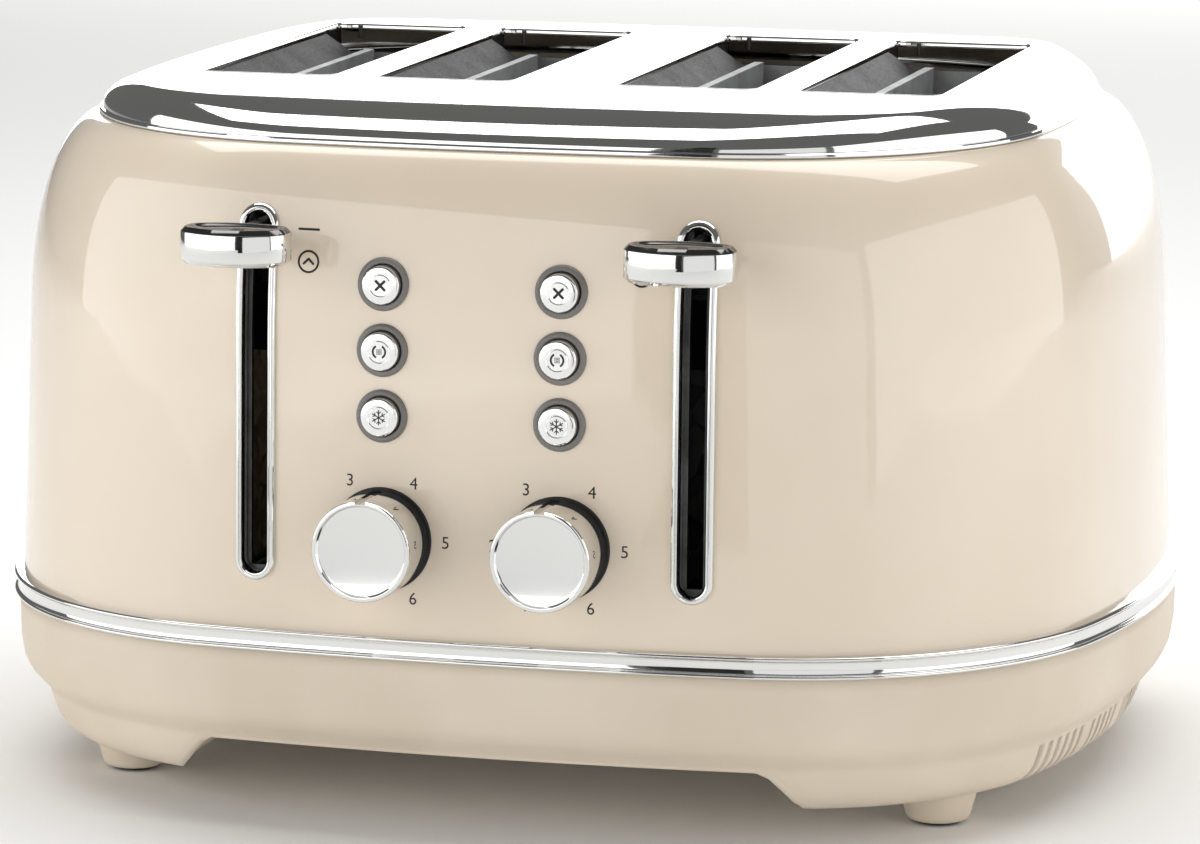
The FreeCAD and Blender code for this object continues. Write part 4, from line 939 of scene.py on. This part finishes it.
def build_prints():
    numbers = []
    for _, side in SIDES:
        for digit, degrees in zip("123456", (240, 180, 120, 60, 0, -60)):
            curve = bpy.data.curves.new("numeral", "FONT")
            curve.body = digit
            curve.size = NUMERAL_SIZE
            curve.align_x = "CENTER"
            curve.align_y = "CENTER"
            curve.resolution_u = 4
            text = bpy.data.objects.new("numeral", curve)
            bpy.context.scene.collection.objects.link(text)
            graph = bpy.context.evaluated_depsgraph_get()
            mesh = bpy.data.meshes.new_from_object(text.evaluated_get(graph), depsgraph=graph)
            spots = np.array([v.co[:2] for v in mesh.vertices])
            spots -= (spots.min(axis=0) + spots.max(axis=0)) / 2
            a = math.radians(degrees)
            spots += (side * BUTTON_X + NUMERAL_R * math.cos(a), DIAL_Z + NUMERAL_R * math.sin(a))
            numbers += [[spots[i] for i in face.vertices] for face in mesh.polygons]
            bpy.data.objects.remove(text)
            bpy.data.meshes.remove(mesh)
    piece("dial_numerals", *film(numbers, front_wall), INK, slot="shell")
    marks = []
    for _, side in SIDES:
        cx, cz = side * 46.1, 154.8              # middle of the arrow's ring
        marks += arc_band(cx, cz, 2.5, 3.08, 0, 360, 48)
        marks += strip([(cx - 1.35, cz - 0.55), (cx, cz + 0.75), (cx + 1.35, cz - 0.55)], 0.62)
        marks += strip([(side * 43.6, 163.3), (side * 49.2, 163.3)], 0.62)
    piece("lever_marks", *film(marks, front_wall), INK, slot="shell")


# ---------------------------------------------------------------- inside
def build_springs():
    """Lift springs, with one flat turn at each end; they stretch between the body and the lever's slider."""
    low, high = SPRING_Z
    for name, side in SIDES:
        turn = np.linspace(0, 2 * math.pi * (SPRING_COILS + 2), 16 * (SPRING_COILS + 2))
        share = np.clip((turn - 2 * math.pi) / (2 * math.pi * SPRING_COILS), 0, 1)
        path = np.column_stack([side * LEVER_X + SPRING_R * np.cos(turn), SPRING_Y + SPRING_R * np.sin(turn),
                                low + (high - low) * share])
        spring = piece("coil_spring_" + name, *tube(path, SPRING_WIRE, 8), None)
        spring.data.materials.append(WIRE)
        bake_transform(spring)
        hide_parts("lift_spring_" + name)


def build_heaters():
    """Flat resistance ribbon wound round each mica card."""
    for name, side in SIDES:
        strips = []
        for card in HEATER_CARDS:
            for face in (-1, 1):
                x = side * card + face * 0.62
                for i in range(15):
                    z = 52 + 8.0 * i
                    strips.append(block(x - 0.1, x + 0.1, -46, 81, z - 0.8, z + 0.8))
        piece("heating_ribbons_" + name, *gather(strips), RIBBON, slot="steel", sharp=20)


def build_gland():
    wall = HALF_DEPTH - BASE_SHARE * 1.5
    profile = [(6.0, 128.5), (6.0, wall + 0.1), (7.6, wall + 0.1), (8.0, wall + 0.5), (8.0, wall + 2.0),
               (7.6, wall + 2.5)]
    for i in range(3):                           # ribs that get thinner towards the end
        start = wall + 2.6 + 2.5 * i
        rib, groove = 6.0 - 0.25 * i, 5.2 - 0.2 * i
        profile += [(rib, start), (rib, start + 1.5), (groove, start + 1.7), (groove, start + 2.4)]
    profile += [(4.7, 150.2), (4.3, 150.5), (3.7, 150.3), (3.7, 128.5)]
    turn = np.linspace(0, 2 * math.pi, 48, endpoint=False)
    rings = [np.column_stack([r * np.cos(turn), np.full(48, y), GLAND_Z + r * np.sin(turn)]) for r, y in profile]
    piece("ribbed_cord_gland", *skin(rings, join=True), BLACK_ABS_AND_PAINTED_SHADE, slot="gland", replaces=("cord_gland",))


# Start of a node's name, its finish, and the width of its worked edge.
CAD_FINISHES = (("chassis_", ZINC, 0.25), ("heat_shield_", ZINC, 0.25), ("heater_cards_", MICA, 0.12),
                ("bread_guards_", WIRE, 0), ("bread_rack_", WIRE, 0.3), ("guide_rod_", WIRE, 0.3),
                ("lift_slider_", BLACK_ABS_AND_PAINTED_SHADE, 0.4), ("keeper_plate_", DARK_STEEL_AND_SLOT_SHADE, 0.2), ("holding_magnet_", COPPER, 0.3),
                ("lever_slot_guide_", DARK_STEEL_AND_SLOT_SHADE, 0.15), ("control_board_", BOARD, 0.2), ("dial_control_", BLACK_ABS_AND_PAINTED_SHADE, 0.3),
                ("dial_shaft_", WIRE, 0.3), ("crumb_tray_", ZINC, 0.3), ("base_screws", WIRE, 0.25))


def finish_cad_nodes():
    """Carried-over nodes get their real finish and a small worked edge."""
    for name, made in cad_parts.items():
        for start, material, edge in CAD_FINISHES:
            if name.startswith(start):
                made.data.materials.clear()
                made.data.materials.append(material)
                if edge:
                    bevel = made.modifiers.new("worked_edge", "BEVEL")
                    bevel.width = edge * MM
                    bevel.segments = 2
                    bevel.limit_method = "ANGLE"
                    bevel.angle_limit = math.radians(40)
                    bevel.harden_normals = True


build_shell()
build_lid()
build_liners()
build_belt()
build_base()
build_painted_shade_behind_vents()
build_feet()
build_trim()
build_buttons()
build_dials()
build_knobs()
build_prints()
build_springs()
build_heaters()
build_gland()
finish_cad_nodes()


# ---------------------------------------------------------------- studio
def studio_card(name, place, size, facing, colour):
    """A table or card that the gloss reflects; not part of the toaster."""
    mesh = bpy.data.meshes.new(name)
    w, h = size[0] / 2, size[1] / 2
    mesh.from_pydata([(-w, -h, 0), (w, -h, 0), (w, h, 0), (-w, h, 0)], [], [(0, 1, 2, 3)])
    made = bpy.data.objects.new(name, mesh)
    bpy.context.scene.collection.objects.link(made)
    made.location = place
    made.rotation_euler = Vector(facing).to_track_quat("Z", "Y").to_euler()
    material = bpy.data.materials.new(name + "_paper")
    material.use_nodes = True
    shader = material.node_tree.nodes["Principled BSDF"]
    shader.inputs["Base Color"].default_value = linear(colour)
    shader.inputs["Roughness"].default_value = 0.9
    mesh.materials.append(material)
    return made


def round_the_table(start, end, distance):
    """Middle and width of an upright panel between two bearings; 0 is straight in front, 90 is to the right."""
    ends = [Vector((math.sin(math.radians(a)), -math.cos(math.radians(a)), 0)) * distance for a in (start, end)]
    return (ends[0] + ends[1]) / 2, (ends[1] - ends[0]).length


def softbox(name, place, size, target, brightness):
    """Rectangular light of an even brightness, whatever its size."""
    light = bpy.data.lights.new(name, "AREA")
    light.shape = "RECTANGLE"
    light.size, light.size_y = size
    light.energy = brightness * math.pi * size[0] * size[1]
    made = bpy.data.objects.new(name, light)
    bpy.context.scene.collection.objects.link(made)
    made.location = place
    made.rotation_euler = (Vector(target) - Vector(place)).to_track_quat("-Z", "Y").to_euler()
    return made


def upright_softbox(name, start, end, distance, low, high, brightness):
    middle, width = round_the_table(start, end, distance)
    middle.z = (low + high) / 2
    softbox(name, middle, (width, high - low), (0, 0, middle.z), brightness)


def build_studio():
    studio_card("pale_floor", (0, 1.2, -0.0003), (6.0, 3.9), (0, 0, 1), "#FBFBFA")
    middle, width = round_the_table(-4.5, 2.5, 1.35)
    middle.z = 0.3
    studio_card("dark_flag", middle, (width, 1.6), (-middle.x, -middle.y, 0), "#1C1B1A")
    world = bpy.data.worlds.new("soft_grey_room")
    bpy.context.scene.world = world
    world.use_nodes = True
    back = world.node_tree.nodes["Background"]
    back.inputs["Color"].default_value = linear("#FFFFFF")
    back.inputs["Strength"].default_value = 0.14
    studio_card("low_white_card", (-0.36, -1.1, -0.02), (0.6, 0.7), (0, 0, 1), "#FBFBFA")
    upright_softbox("right_softbox", 45, 122, 1.6, -0.4, 0.75, 1.45)
    upright_softbox("front_softbox", 4, 42, 1.75, -0.4, 0.75, 0.8)
    upright_softbox("left_softbox", -90, -6, 1.6, -0.4, 0.75, 1.65)
    upright_softbox("rear_softbox", 151, 212, 3.2, 0.0, 1.1, 2.7)
    softbox("top_softbox", (0, 0.35, 1.6), (2.2, 1.15), (0, 0.35, 0), 3.3)
    bpy.context.scene.view_settings.view_transform = "Standard"


def build_camera():
    camera = bpy.data.objects.new("camera", bpy.data.cameras.new("camera"))
    bpy.context.scene.collection.objects.link(camera)
    ahead = Vector((-0.26294, 0.94893, -0.17436)).normalized()
    right = Vector((0.96359, 0.26737, 0.00199)).normalized()
    up = right.cross(ahead)
    right = ahead.cross(up)
    turn = Matrix((right, up, -ahead)).transposed().to_4x4()
    camera.matrix_world = Matrix.Translation((0.42793, -1.56172, 0.37887)) @ turn
    camera.data.sensor_width = 36.0
    camera.data.lens = 171.108
    camera.data.shift_x = 0.01169
    camera.data.shift_y = -0.00153
    bpy.context.scene.camera = camera


build_studio()
build_camera()
